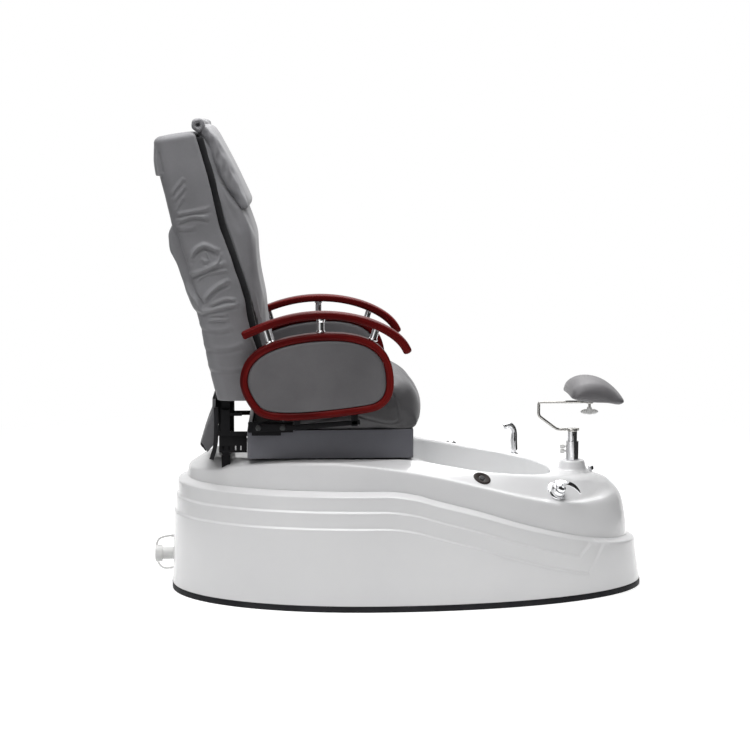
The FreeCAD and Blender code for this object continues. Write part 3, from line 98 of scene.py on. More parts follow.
def smooth_curve(points: Points, count: int, closed: bool = False) -> Array:
    """Evenly spaced points of the smooth curve through given points.

    It is a cubic spline over chord length: the second derivatives solve the usual
    three-band system, with no bend at free ends or wrapping round when closed.
    Args:
        points: points it goes through, with any number of coordinates.
        count: how many points it gets.
        closed: whether it joins up; the first point isn't repeated.
    Returns:
        Array of count points.
    """
    knots = np.array(points, float)
    if closed:
        knots = np.vstack([knots, knots[:1]])
    span = np.linalg.norm(np.diff(knots, axis=0), axis=1)
    at = np.concatenate([[0.0], np.cumsum(span)])
    slope = np.diff(knots, axis=0) / span[:, None]
    size = len(span) if closed else len(knots)
    bands, right = np.zeros((size, size)), np.zeros((size, knots.shape[1]))
    inner = np.arange(size) if closed else np.arange(1, size - 1)
    bands[inner, inner] = 2 * (span[inner - 1] + span[inner % len(span)])
    bands[inner, inner - 1] += span[inner - 1]
    bands[inner, (inner + 1) % size] += span[inner % len(span)]
    right[inner] = 6 * (slope[inner % len(span)] - slope[inner - 1])
    if not closed:
        bands[0, 0] = bands[-1, -1] = 1.0
    bend = np.linalg.solve(bands, right)
    if closed:
        bend = np.vstack([bend, bend[:1]])
    fine = np.linspace(0, at[-1], 24 * len(knots) + 1)
    i = np.clip(np.searchsorted(at, fine, side="right") - 1, 0, len(span) - 1)
    h, low, high = span[i, None], (fine - at[i])[:, None], (at[i + 1] - fine)[:, None]
    curve = ((bend[i] * high**3 + bend[i + 1] * low**3) / (6 * h)
             + (knots[i] / h - bend[i] * h / 6) * high + (knots[i + 1] / h - bend[i + 1] * h / 6) * low)
    run = np.concatenate([[0.0], np.cumsum(np.linalg.norm(np.diff(curve, axis=0), axis=1))])
    wanted = np.linspace(0, run[-1], count + 1)[:-1] if closed else np.linspace(0, run[-1], count)
    return np.stack([np.interp(wanted, run, column) for column in curve.T], axis=1)


def eased(points: Array, reach: float | Array, steps: int = 4, share: float = 0.45) -> Array:
    """Polyline, of points or of whole rings, with its inner corners rounded.

    Each corner C becomes (1-t) squared A + 2t(1-t) C + t squared B, with A and B on the
    runs before and after it, a reach away but at most a share of the run.
    Args:
        points: array whose first axis runs along the polyline.
        reach: reach in millimetres, or one for each corner, shaped to match.
        steps: pieces of each rounded corner.
        share: largest part of a run that a corner takes.
    Returns:
        Array with steps + 1 entries for each inner corner, and both ends.
    """
    points = np.asarray(points, float)
    corner = points[1:-1]

    def beside(other: Array) -> Array:
        """Points on the runs from the corners towards their neighbours."""
        way = other - corner
        length = np.maximum(np.linalg.norm(way, axis=-1, keepdims=True), 1e-9)
        return corner + way * np.minimum(reach / length, share)
    first, last = beside(points[:-2]), beside(points[2:])
    t = np.linspace(0, 1, steps + 1).reshape((1, -1) + (1,) * (points.ndim - 1))
    first, corner, last = first[:, None], corner[:, None], last[:, None]
    curve = (1 - t)**2 * first + 2 * t * (1 - t) * corner + t**2 * last
    return np.concatenate([points[:1], curve.reshape((-1,) + points.shape[1:]), points[-1:]])


def in_between(points: Array, count: int) -> Array:
    """Polyline, of points or rings, with count - 1 evenly spaced entries added in every run."""
    share = (np.arange(count) / count).reshape((1, -1) + (1,) * (points.ndim - 1))
    runs = points[:-1, None] * (1 - share) + points[1:, None] * share
    return np.concatenate([runs.reshape((-1,) + points.shape[1:]), points[-1:]])


def rounded_section(wide: float, high: float, radius: float, steps: int = 5) -> Array:
    """Rounded rectangle round the origin: four quarter circles about its inset corners.

    Args:
        wide: whole size along the first axis.
        high: whole size along the second axis.
        radius: corner radius.
        steps: pieces of each corner.
    Returns:
        Points in order, anticlockwise, the first not repeated.
    """
    turn = np.linspace(0, math.pi / 2, steps + 1)[None, :] + np.arange(4)[:, None] * math.pi / 2
    across = np.array([1, -1, -1, 1])[:, None] * (wide / 2 - radius)
    up = np.array([1, 1, -1, -1])[:, None] * (high / 2 - radius)
    return np.stack([across + radius * np.cos(turn), up + radius * np.sin(turn)], -1).reshape(-1, 2)


def full_turn(count: int) -> Array:
    """Evenly spaced angles of one turn, the first not repeated."""
    return np.linspace(0, 2 * math.pi, count, endpoint=False)


def circle(count: int) -> Array:
    """Points of a circle of radius one."""
    return np.stack([np.cos(full_turn(count)), np.sin(full_turn(count))], -1)


def at_side(line: Array, y: float) -> Array:
    """Points of a line of X and Z at a place across the chair."""
    return np.stack([line[:, 0], np.full(len(line), y), line[:, 1]], -1)


def outward_from(line: Array) -> Array:
    """Outward directions square to a closed outline of X and Z, told by the sign of its area."""
    tangent = unit(np.roll(line, -1, 0) - np.roll(line, 1, 0))
    area = (line[:, 0] * np.roll(line[:, 1], -1) - np.roll(line[:, 0], -1) * line[:, 1]).sum()
    return np.stack([tangent[:, 1], -tangent[:, 0]], -1) * (1 if area > 0 else -1)


def sized(section: Array, wide: Array, high: Array) -> Array:
    """Section stretched to a width and a height for each point of a path."""
    return section[None] * np.stack([wide, high], -1)[:, None, :]


def unit(ways: Array) -> Array:
    """Directions scaled to length one."""
    return ways / np.maximum(np.linalg.norm(ways, axis=-1, keepdims=True), 1e-12)


def distance_to(points: Array, line: Points) -> Array:
    """Least distance of each point from a polyline, over its runs.

    On a run from A to B the nearest point is A + s (B - A), with s the clipped share of
    the point's reach along it.
    """
    line = np.array(line, float)
    start, way = line[:-1], np.diff(line, axis=0)
    reach = points[:, None, :] - start[None]
    share = np.clip((reach * way).sum(-1) / np.maximum((way * way).sum(-1), 1e-9), 0, 1)
    return np.linalg.norm(reach - share[..., None] * way, axis=-1).min(axis=1)


# Surfaces

@dataclass
class Surface:
    """Points in millimetres, and faces as rows of point numbers with three or four each."""

    points: Array
    quads: Array = field(default_factory=lambda: np.zeros((0, 4), int))
    triangles: Array = field(default_factory=lambda: np.zeros((0, 3), int))
    uv: Optional[Array] = None

    def moved(self, points: Array) -> "Surface":
        """Same faces on other points."""
        return Surface(points, self.quads, self.triangles, self.uv)

    def flipped(self, points: Array) -> "Surface":
        """Other points on the same faces, each face turned over."""
        uv = None if self.uv is None else self.uv.reshape(-1, 4, 2)[:, ::-1].reshape(-1, 2)
        return Surface(points, self.quads[:, ::-1], self.triangles[:, ::-1], uv)

    def mirrored(self) -> "Surface":
        """Mirror image across the middle plane, with its faces turned to match."""
        return self.flipped(self.points * (1, -1, 1))

    def joined(self, *others: "Surface") -> "Surface":
        """One surface of this and others, not merged."""
        parts = (self,) + others
        offset = np.cumsum([0] + [len(part.points) for part in parts[:-1]])
        return Surface(np.vstack([part.points for part in parts]),
                       np.vstack([part.quads + shift for part, shift in zip(parts, offset)]),
                       np.vstack([part.triangles + shift for part, shift in zip(parts, offset)]))

    def volume(self) -> float:
        """Signed volume: a sixth of the triple products of its triangles."""
        halves = [self.quads[:, [0, 1, 2]], self.quads[:, [0, 2, 3]], self.triangles]
        corner = self.points[np.vstack(halves)]
        return float(np.einsum("ij,ij->i", corner[:, 0], np.cross(corner[:, 1], corner[:, 2])).sum() / 6)

    def outward(self) -> "Surface":
        """Closed surface with its faces turned outwards."""
        return self if self.volume() >= 0 else self.flipped(self.points)


class Ends(Enum):
    """What closes the first and last row of a grid."""

    OPEN = "open"
    POLES = "poles"
    LOOP = "loop"


def sheeted(grid: Array, ends: Ends = Ends.POLES, ring: bool = True, uv: Optional[Array] = None) -> Surface:
    """Surface over a grid of points, of rows by columns.

    Face (i, j) joins points (i, j), (i, j+1), (i+1, j+1) and (i+1, j), counted round where
    the grid is a ring or a loop; a pole is the middle of its end row.
    Args:
        grid: points, rows by columns by three.
        ends: how the first and last rows are closed.
        ring: whether the last column joins the first.
        uv: pattern coordinates, rows + 1 by columns + 1 by two where the grid wraps.
    Returns:
        The surface, turned outwards where it is closed.
    """
    rows, columns = grid.shape[:2]
    i = np.arange(rows if ends is Ends.LOOP else rows - 1)[:, None]
    j = np.arange(columns if ring else columns - 1)[None, :]
    below, beside = (i + 1) % rows, (j + 1) % columns
    quads = np.stack([i * columns + j, i * columns + beside, below * columns + beside,
                      below * columns + j], -1).reshape(-1, 4)
    corner_uv = None
    if uv is not None:
        corner_uv = np.stack([uv[i, j], uv[i, j + 1], uv[i + 1, j + 1], uv[i + 1, j]], 2).reshape(-1, 2)
    points = grid.reshape(-1, 3)
    if ends is not Ends.POLES:
        surface = Surface(points, quads, uv=corner_uv)
        return surface.outward() if ends is Ends.LOOP and ring else surface
    column = np.arange(columns)
    first, last = len(points), len(points) + 1
    points = np.vstack([points, grid[0].mean(0), grid[-1].mean(0)])
    fans = [np.stack([np.full(columns, first), (column + 1) % columns, column], -1),
            np.stack([np.full(columns, last), (rows - 1) * columns + column,
                      (rows - 1) * columns + (column + 1) % columns], -1)]
    return Surface(points, quads, np.vstack(fans), corner_uv).outward()


def ringed(x: Array, y: Array, z: Array) -> Surface:
    """Closed surface through rings given by X, Y and Z, each spread to the shape of all."""
    return sheeted(np.stack(np.broadcast_arrays(x, y, z), -1))


def turned(profile: Points, at: Points = (0, 0, 0), way: Points = (0, 0, 1), ease: float = 0.8,
           sides: int = 48) -> Surface:
    """Closed surface of revolution.

    A point at radius r, height h and turn a is the foot + h way + r (cos a U + sin a W),
    with U and W square to the way.
    Args:
        profile: radius and height points from one end of the axis to the other.
        at: foot of the axis.
        way: direction of the axis.
        ease: reach of its rounded corners.
        sides: points round it.
    Returns:
        The surface.
    """
    profile = eased(np.array(profile, float), ease, 3)
    profile[:, 0] = np.maximum(profile[:, 0], 0.02)
    way = unit(np.array(way, float))
    across = unit(np.cross(way, (0, 1, 0) if abs(way[1]) < 0.9 else (1, 0, 0)))
    other = np.cross(way, across)
    turn = full_turn(sides)
    round_it = np.cos(turn)[:, None] * across + np.sin(turn)[:, None] * other
    grid = np.array(at, float) + profile[:, None, 1:] * way + profile[:, None, :1] * round_it[None]
    return sheeted(grid)


def carried(path: Array, sections: Array, side: Points = (0, 1, 0), ends: Ends = Ends.POLES,
            lengthwise_uv: bool = False) -> Surface:
    """Section carried along a path: point + first coordinate side + second coordinate normal.

    The side is squared to the path's direction T at each point, and the normal is T x side.
    Args:
        path: points of the path.
        sections: one section, or one for each point of the path.
        side: rough direction of the sections' first axis.
        ends: how the path's ends are closed; LOOP when it is a closed path.
        lengthwise_uv: whether to lay U along the path and V round the section, in metres.
    Returns:
        The surface.
    """
    if ends is Ends.LOOP:
        tangent = unit(np.roll(path, -1, 0) - np.roll(path, 1, 0))
    else:
        tangent = unit(np.gradient(path, axis=0))
    normal = unit(np.cross(tangent, np.array(side, float)))
    side_way = np.cross(normal, tangent)
    sections = np.broadcast_to(sections, (len(path),) + sections.shape[-2:])
    grid = path[:, None] + sections[..., :1] * side_way[:, None] + sections[..., 1:] * normal[:, None]
    uv = None
    if lengthwise_uv:
        rows, columns = grid.shape[:2]
        run = np.linalg.norm(np.diff(path, axis=0, append=path[:1]), axis=1)
        run = np.concatenate([[0.0], np.cumsum(run)]) * MM
        around = np.linalg.norm(np.diff(sections[0], axis=0, append=sections[0][:1]), axis=1)
        around = np.concatenate([[0.0], np.cumsum(around)]) * MM
        uv = np.stack(np.broadcast_arrays(run[:, None], around[None, :]), -1)
    return sheeted(grid, ends, True, uv)


def bar(path: Array, radius: float | Array, sides: int = 20, side: Points = (0, 1, 0)) -> Surface:
    """Round bar along a path, with its radius fixed or given at each point."""
    return carried(path, circle(sides) * np.reshape(radius, (-1, 1, 1)), side)


def block(low: Points, high: Points, radius: float = 2.0, steps: int = 3) -> Surface:
    """Box with all its edges rounded.

    Its rows climb from pole to pole: the plan is a rounded rectangle drawn in by
    r (1 - cos a) while the height climbs by r sin a at either end.
    """
    low, high = np.array(low, float), np.array(high, float)
    middle, size = (low + high) / 2, high - low
    turn = np.linspace(0, math.pi / 2, steps + 1)
    inset = np.concatenate([radius * (1 - np.sin(turn)), radius * (1 - np.cos(turn))])
    height = np.concatenate([radius * (1 - np.cos(turn)), size[2] - radius * (1 - np.sin(turn))])
    section = rounded_section(size[0], size[1], radius * 1.01, steps)
    plan = section[None] * (1 - 2 * inset[:, None, None] / size[:2]) + middle[:2]
    return ringed(plan[..., 0], plan[..., 1], (low[2] + height)[:, None])


# Finishes

Colour = tuple[float, float, float]


class Shader:
    """Node tree of one finish, with short calls for the nodes that the finishes share."""

    def __init__(self, name: str) -> None:
        """Starts a material with one surface shader."""
        self.material = bpy.data.materials.new(name)
        self.material.use_nodes = True
        self.tree = self.material.node_tree
        self.tree.nodes.clear()
        self.surface = self.tree.nodes.new("ShaderNodeBsdfPrincipled")
        output = self.tree.nodes.new("ShaderNodeOutputMaterial")
        self.tree.links.new(self.surface.outputs[0], output.inputs[0])

    def put(self, **values: float | Colour) -> None:
        """Sets the surface shader's own sockets, named with underscores for spaces."""
        for name, value in values.items():
            socket = self.surface.inputs[name.replace("_", " ")]
            socket.default_value = (*value, 1.0) if isinstance(value, tuple) else value

    def feed(self, name: str, source: Socket) -> None:
        """Links a varying value to a socket of the surface shader."""
        self.tree.links.new(source, self.surface.inputs[name])

    def node(self, kind: str, inputs: dict, **settings: object) -> bpy.types.Node:
        """New node with its settings, and its inputs set or linked by name or number."""
        node = self.tree.nodes.new(kind)
        for key, value in settings.items():
            setattr(node, key, value)
        for key, value in inputs.items():
            if isinstance(value, Socket):
                self.tree.links.new(value, node.inputs[key])
            else:
                node.inputs[key].default_value = value
        return node

    def place(self, stretch: Colour = (1, 1, 1), surface_uv: bool = False) -> Socket:
        """Object coordinates in metres, or the piece's own UV map, stretched."""
        source = self.node("ShaderNodeTexCoord", {}).outputs["UV" if surface_uv else "Object"]
        return self.node("ShaderNodeMapping", {"Vector": source, "Scale": stretch}).outputs[0]

    def noise(self, place: Socket, scale: float, detail: float = 3.0,
              rough: float = 0.55, twist: float = 0.0) -> Socket:
        """Cloudy noise from 0 to 1."""
        return self.node("ShaderNodeTexNoise", {"Vector": place, "Scale": scale, "Detail": detail,
                                                "Roughness": rough, "Distortion": twist}).outputs["Fac"]

    def span(self, value: Socket, low: float, high: float, to_low: float,
             to_high: float, ease: bool = False) -> Socket:
        """Value carried from one range to another, clipped, and eased at both ends if asked."""
        return self.node("ShaderNodeMapRange", {"Value": value, "From Min": low, "From Max": high,
                                                "To Min": to_low, "To Max": to_high},
                         interpolation_type="SMOOTHSTEP" if ease else "LINEAR").outputs[0]

    def tones(self, value: Socket, stops: Sequence[tuple[float, Colour]]) -> Socket:
        """Colours between stops."""
        node = self.node("ShaderNodeValToRGB", {"Fac": value})
        elements = node.color_ramp.elements
        for spare in range(len(stops) - 2):
            elements.new(0.5)
        for element, (place, colour) in zip(elements, stops):
            element.position, element.color = place, (*colour, 1.0)
        return node.outputs["Color"]

    def sum(self, first: Socket, second: Socket, weight: float) -> Socket:
        """First value and a weight times the second."""
        node = self.node("ShaderNodeMath", {0: second, 1: weight, 2: first}, operation="MULTIPLY_ADD")
        return node.outputs[0]

    def relief(self, height: Socket, strength: float, depth: float) -> None:
        """Bump of the surface, deep in metres."""
        bump = self.node("ShaderNodeBump", {"Height": height, "Strength": strength, "Distance": depth})
        self.feed("Normal", bump.outputs["Normal"])


@dataclass(frozen=True)
class Finish:
    """Base of the finishes: a name and the record's slot that it stands for."""

    name: str
    slot: str

    def material(self) -> bpy.types.Material:
        """Material of this finish, made once."""
        found = bpy.data.materials.get(self.name)
        return found or self.build()

    def build(self) -> bpy.types.Material:
        """Makes the material."""
        raise NotImplementedError


@dataclass(frozen=True)
class Moulded(Finish):
    """Plastic, rubber, paint or plated metal: two near tones, clouded gloss and fine relief."""

    dark: Colour
    light: Colour
    rough: tuple[float, float] = (0.3, 0.45)
    metal: float = 0.0
    coat: float = 0.0
    tone_scale: float = 9.0
    relief_scale: float = 700.0
    relief: float = 0.05
    gloss: float = 0.5

    def build(self) -> bpy.types.Material:
        """Makes the material."""
        shader = Shader(self.name)
        place = shader.place()
        cloud = shader.noise(place, self.tone_scale, 4.0)
        shader.feed("Base Color", shader.tones(cloud, [(0.3, self.dark), (0.7, self.light)]))
        smudge = shader.noise(place, self.tone_scale * 5, 5.0, 0.65)
        shader.feed("Roughness", shader.span(smudge, 0.3, 0.7, *self.rough))
        shader.put(Metallic=self.metal, Coat_Weight=self.coat, Coat_Roughness=0.06,
                   Specular_IOR_Level=self.gloss)
        if self.relief:
            shader.relief(shader.noise(place, self.relief_scale, 2.0), self.relief, 0.0004)
        return shader.material


@dataclass(frozen=True)
class Leather(Finish):
    """Soft grained leather: pebbled cells, pores, cloudy tone and lighter worn edges."""

    dark: Colour
    light: Colour
    worn: Colour
    grain: float = 520.0
    rough: tuple[float, float] = (0.42, 0.58)
    relief: float = 0.22

    def build(self) -> bpy.types.Material:
        """Makes the material."""
        shader = Shader(self.name)
        place = shader.place()
        cloud = shader.noise(place, 5.0, 5.0, 0.6)
        grain = {"Vector": place, "Scale": self.grain}
        cells = shader.node("ShaderNodeTexVoronoi", grain).outputs["Distance"]
        pores = shader.noise(place, self.grain * 2.2, 3.0)
        tone = shader.tones(shader.sum(cloud, cells, -0.16), [(0.22, self.dark), (0.66, self.light)])
        edge = shader.node("ShaderNodeNewGeometry", {}).outputs["Pointiness"]
        wear = shader.span(edge, 0.52, 0.62, 0.0, 0.55)
        mix = shader.node("ShaderNodeMix", {0: wear, 6: tone, 7: (*self.worn, 1.0)}, data_type="RGBA")
        shader.feed("Base Color", mix.outputs[2])
        shader.feed("Roughness", shader.span(shader.sum(cloud, cells, 0.3), 0.3, 0.9, *self.rough))
        shader.put(Specular_IOR_Level=0.45, Sheen_Weight=0.12, Sheen_Roughness=0.4)
        height = shader.sum(cells, pores, 0.35)
        shader.relief(shader.sum(height, shader.noise(place, 70.0, 3.0), 0.8), self.relief, 0.0009)
        return shader.material


@dataclass(frozen=True)
class Timber(Finish):
    """Lacquered timber with its grain along the piece's own length."""

    dark: Colour
    middle: Colour
    light: Colour
    along_uv: bool = True
    coat: float = 0.05
    gloss: float = 0.03

    def build(self) -> bpy.types.Material:
        """Makes the material."""
        shader = Shader(self.name)
        place = shader.place((3.0, 55.0, 55.0), self.along_uv)
        flame = shader.noise(shader.place((1.5, 14.0, 14.0), self.along_uv), 1.6, 3.0, 0.5, 0.6)
        grain = shader.noise(place, 4.0, 6.0, 0.7, 0.3)
        mixed = shader.sum(flame, grain, 0.55)
        stops = [(0.45, self.dark), (0.78, self.middle), (1.0, self.light)]
        shader.feed("Base Color", shader.tones(mixed, stops))
        shader.feed("Roughness", shader.span(grain, 0.3, 0.7, 0.30, 0.44))
        shader.put(Coat_Weight=self.coat, Coat_Roughness=0.12, Specular_IOR_Level=self.gloss)
        shader.relief(grain, 0.05, 0.0005)
        return shader.material


@dataclass(frozen=True)
class Woven(Finish):
    """Plain cloth: crossed threads on object coordinates, with cloudy wear."""

    dark: Colour
    light: Colour
    thread: float = 1600.0

    def build(self) -> bpy.types.Material:
        """Makes the material."""
        shader = Shader(self.name)
        place = shader.place()
        cloud = shader.noise(place, 8.0, 4.0)
        inputs = {"Vector": place, "Scale": self.thread / 6.3, "Distortion": 0.6}
        waves = [shader.node("ShaderNodeTexWave", inputs, bands_direction=axis).outputs["Fac"]
                 for axis in ("Y", "Z")]
        weave = shader.sum(waves[0], waves[1], 1.0)
        tone = shader.sum(cloud, weave, 0.12)
        shader.feed("Base Color", shader.tones(tone, [(0.3, self.dark), (0.85, self.light)]))
        shader.put(Roughness=0.85, Sheen_Weight=0.25, Sheen_Roughness=0.5, Specular_IOR_Level=0.2)
        shader.relief(weave, 0.3, 0.0003)
        return shader.material


ACRYLIC = Moulded(
    "white_acrylic_gloss", "white_acrylic", (0.79, 0.79, 0.80), (0.83, 0.83, 0.835), (0.16, 0.26), coat=0.2,
    tone_scale=3.0, relief_scale=38.0, relief=0.012)
BASIN_ACRYLIC = Moulded(
    "white_basin_gloss", "white_acrylic", (0.78, 0.785, 0.79), (0.82, 0.82, 0.825), (0.12, 0.22), coat=0.3,
    tone_scale=4.0, relief_scale=30.0, relief=0.01)
RUBBER = Moulded(
    "black_rubber_strip", "black_rubber", (0.010, 0.010, 0.012), (0.022, 0.022, 0.025), (0.5, 0.7),
    relief=0.25, gloss=0.2)
BLACK_STEEL = Moulded(
    "black_powder_coat", "black_steel", (0.004, 0.004, 0.005), (0.009, 0.009, 0.010), (0.5, 0.65),
    relief=0.22, relief_scale=1100.0, gloss=0.12)
CHROME = Moulded(
    "polished_chrome", "bright_chrome", (0.74, 0.745, 0.76), (0.82, 0.82, 0.83), (0.05, 0.14), 1.0,
    relief=0.0)
DULL_CHROME = Moulded(
    "brushed_chrome", "bright_chrome", (0.45, 0.44, 0.42), (0.56, 0.55, 0.53), (0.18, 0.34), 1.0,
    relief=0.05)
DULL_ZINC = Moulded(
    "dull_zinc_bolts", "bright_chrome", (0.030, 0.032, 0.032), (0.048, 0.050, 0.050), (0.45, 0.6),
    relief=0.05, gloss=0.3)
BLACK_PLASTIC = Moulded(
    "black_moulded_plastic", "black_plastic", (0.014, 0.014, 0.016), (0.026, 0.026, 0.029), (0.3, 0.5),
    relief=0.15, relief_scale=1400.0)
DARK_PAD = Moulded(
    "dark_control_plastic", "black_plastic", (0.018, 0.013, 0.012), (0.030, 0.022, 0.020), (0.32, 0.46),
    relief=0.05, gloss=0.25)
WHITE_PLASTIC = Moulded(
    "white_moulded_plastic", "white_plastic", (0.70, 0.70, 0.69), (0.78, 0.78, 0.77), (0.28, 0.42),
    relief=0.05)
GRAY_PIPE = Moulded("gray_pipe_plastic", "gray_pipe", (0.30, 0.31, 0.32), (0.38, 0.39, 0.40), (0.4, 0.55))
GRAY_LEATHER = Leather(
    "gray_soft_leather", "gray_leather", (0.185, 0.184, 0.194), (0.250, 0.249, 0.262), (0.38, 0.38, 0.39))
# Gray leather of the seat cushion, darkened as painted shade from the armrests above it.
SHADED_SEAT_LEATHER = Leather(
    "shaded_gray_seat_leather", "gray_leather", (0.064, 0.063, 0.066), (0.092, 0.090, 0.095), (0.30, 0.30, 0.31))
PAD_LEATHER = Leather(
    "gray_pad_leather", "gray_leather", (0.106, 0.103, 0.108), (0.152, 0.147, 0.154), (0.30, 0.30, 0.31),
    grain=640.0)
PANEL_LEATHER = Leather(
    "dark_panel_leather", "dark_panel", (0.090, 0.091, 0.106), (0.122, 0.124, 0.144), (0.22, 0.22, 0.24),
    rough=(0.36, 0.5), relief=0.12)
MAHOGANY = Timber(
    "mahogany_lacquer", "mahogany", (0.032, 0.0019, 0.0022), (0.106, 0.0055, 0.0057), (0.18, 0.013, 0.011))
BLACK_CLOTH = Woven("black_gusset_cloth", "black_cloth", (0.006, 0.006, 0.007), (0.016, 0.016, 0.018))
GRAY_CLOTH = Woven("gray_apron_cloth", "black_cloth", (0.085, 0.085, 0.090), (0.150, 0.150, 0.157))
DARK_PAN = Moulded(
    "dark_seat_pan", "plywood", (0.010, 0.009, 0.008), (0.020, 0.018, 0.016), (0.6, 0.8), gloss=0.15)


# Pieces

def dressed(name: str, surface: Surface, body: str, finish: Finish, replaces: Sequence[str] = (),
            sharp: Optional[float] = 35.0) -> Thing:
    """Writes a surface into the scene as a finished piece on a body.

    Args:
        name: the piece's name.
        surface: its surface in millimetres.
        body: the body that it rides on.
        finish: its finish.
        replaces: CAD nodes that it stands for.
        sharp: edges that turn by more degrees than this stay sharp, or None for none.
    Returns:
        The piece's object, at the origin.
    """
    mesh = bpy.data.meshes.new(name)
    sizes = np.concatenate([np.full(len(surface.quads), 4), np.full(len(surface.triangles), 3)])
    corners = np.concatenate([surface.quads.ravel(), surface.triangles.ravel()])
    mesh.vertices.add(len(surface.points))
    mesh.vertices.foreach_set("co", (surface.points * MM).astype(np.float32).ravel())
    mesh.loops.add(len(corners))
    mesh.loops.foreach_set("vertex_index", corners.astype(np.int32))
    mesh.polygons.add(len(sizes))
    mesh.polygons.foreach_set("loop_start", np.concatenate([[0], np.cumsum(sizes)[:-1]]).astype(np.int32))
    mesh.update(calc_edges=True)
    if surface.uv is not None:
        layer = mesh.uv_layers.new(name="lengthwise")
        flat = np.zeros((len(corners), 2), np.float32)
        flat[:len(surface.uv)] = surface.uv
        layer.data.foreach_set("uv", flat.ravel())
    mesh.shade_smooth()
    if sharp is not None:
        mesh.set_sharp_from_angle(angle=math.radians(sharp))
    mesh.materials.append(finish.material())
    piece = bpy.data.objects.new(name, mesh)
    bpy.context.scene.collection.objects.link(piece)
    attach(piece, body)
    if replaces:
        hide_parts(*replaces)
    LOG.info("%s: %d points on %s", name, len(surface.points), body)
    return piece


def refinish(finish: Finish, *nodes: str) -> None:
    """Gives CAD nodes that stay a finish, by assigning to their material slots."""
    for node in nodes:
        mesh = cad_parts[node].data
        mesh.materials.clear()
        mesh.materials.append(finish.material())


def coordinates(mesh: bpy.types.Mesh) -> Array:
    """Points of a mesh in metres."""
    flat = np.zeros(len(mesh.vertices) * 3, np.float32)
    mesh.vertices.foreach_get("co", flat)
    return flat.reshape(-1, 3).astype(float)


def settle(piece: Thing) -> None:
    """Applies a piece's modifiers to its mesh."""
    graph = bpy.context.evaluated_depsgraph_get()
    mesh = bpy.data.meshes.new_from_object(piece.evaluated_get(graph))
    mesh.name = piece.name
    piece.modifiers.clear()
    old, piece.data = piece.data, mesh
    bpy.data.meshes.remove(old)


@dataclass(frozen=True)
class Stuffing:
    """How a padded piece is blown up: voxel size, pressure and the furthest a point may move."""

    voxel: float = 6.0
    pressure: float = 4.0
    reach: float = 16.0
    stiff: float = 12.0
    frames: int = 20

    def fill(self, piece: Thing, held: Callable[[Array], Array],
             shape: Optional[Callable[[Array], Array]] = None) -> None:
        """Remeshes a piece in even voxels and swells it as cloth under pressure.

        Each point moves with the cloth but no further than the reach, scaled down by how
        far it is held. A shape function then carves its seams, in millimetres.
        Args:
            piece: the piece, a closed mesh.
            held: share from 0 to 1 by which each point, in millimetres, stays put.
            shape: moves the finished points, in millimetres.
        """
        remesh = piece.modifiers.new("voxels", "REMESH")
        remesh.mode, remesh.voxel_size = "VOXEL", self.voxel * MM
        settle(piece)
        start = coordinates(piece.data)
        keep = held(start / MM)
        group = piece.vertex_groups.new(name="held")
        group.add(np.flatnonzero(keep > 0.98).tolist(), 1.0, "REPLACE")
        cloth = piece.modifiers.new("stuffing", "CLOTH")
        cloth.settings.quality = 3
        cloth.settings.mass = 0.2
        cloth.settings.tension_stiffness = cloth.settings.compression_stiffness = self.stiff
        cloth.settings.bending_stiffness = 2.0
        cloth.settings.use_pressure = True
        cloth.settings.uniform_pressure_force = self.pressure
        cloth.settings.vertex_group_mass = "held"
        cloth.settings.effector_weights.gravity = 0.0
        cloth.collision_settings.use_collision = False
        cloth.point_cache.frame_start, cloth.point_cache.frame_end = 1, self.frames
        for step in range(1, self.frames + 1):
            bpy.context.scene.frame_set(step)
        graph = bpy.context.evaluated_depsgraph_get()
        swollen = coordinates(piece.evaluated_get(graph).data)
        piece.modifiers.clear()
        move = swollen - start
        length = np.linalg.norm(move, axis=1, keepdims=True)
        limit = self.reach * MM * (1 - np.clip(keep, 0, 1))[:, None]
        start = start + move * np.minimum(1.0, limit / np.maximum(length, 1e-9))
        bpy.context.scene.frame_set(1)
        piece.data.vertices.foreach_set("co", start.astype(np.float32).ravel())
        smooth = piece.modifiers.new("even", "SMOOTH")
        smooth.factor, smooth.iterations = 0.5, 6
        finer = piece.modifiers.new("finer", "SUBSURF")
        finer.levels = finer.render_levels = 1
        settle(piece)
        if shape is not None:
            done = shape(coordinates(piece.data) / MM) * MM
            piece.data.vertices.foreach_set("co", done.astype(np.float32).ravel())
        piece.data.shade_smooth()
        piece.data.update()
        LOG.info("%s: stuffed, %d points", piece.name, len(piece.data.vertices))


# Camera and room

@dataclass(frozen=True)
class Photograph:
    """Camera fitted to the floor outline and level edges, for a picture 750 pixels square."""

    place: Points = (-0.328, -5.8, 1.3815)
    turn: float = -2.303
    dip: float = 7.264
    focal_pixels: float = 1933.4
    across: float = 750.0

    def build(self) -> None:
        """Adds the camera and makes it the scene's own."""
        data = bpy.data.cameras.new("photograph")
        data.sensor_width = 36.0
        data.lens = self.focal_pixels / self.across * data.sensor_width
        camera = bpy.data.objects.new("photograph", data)
        camera.location = self.place
        camera.rotation_euler = (math.radians(90 - self.dip), 0.0, math.radians(self.turn))
        bpy.context.scene.collection.objects.link(camera)
        bpy.context.scene.camera = camera


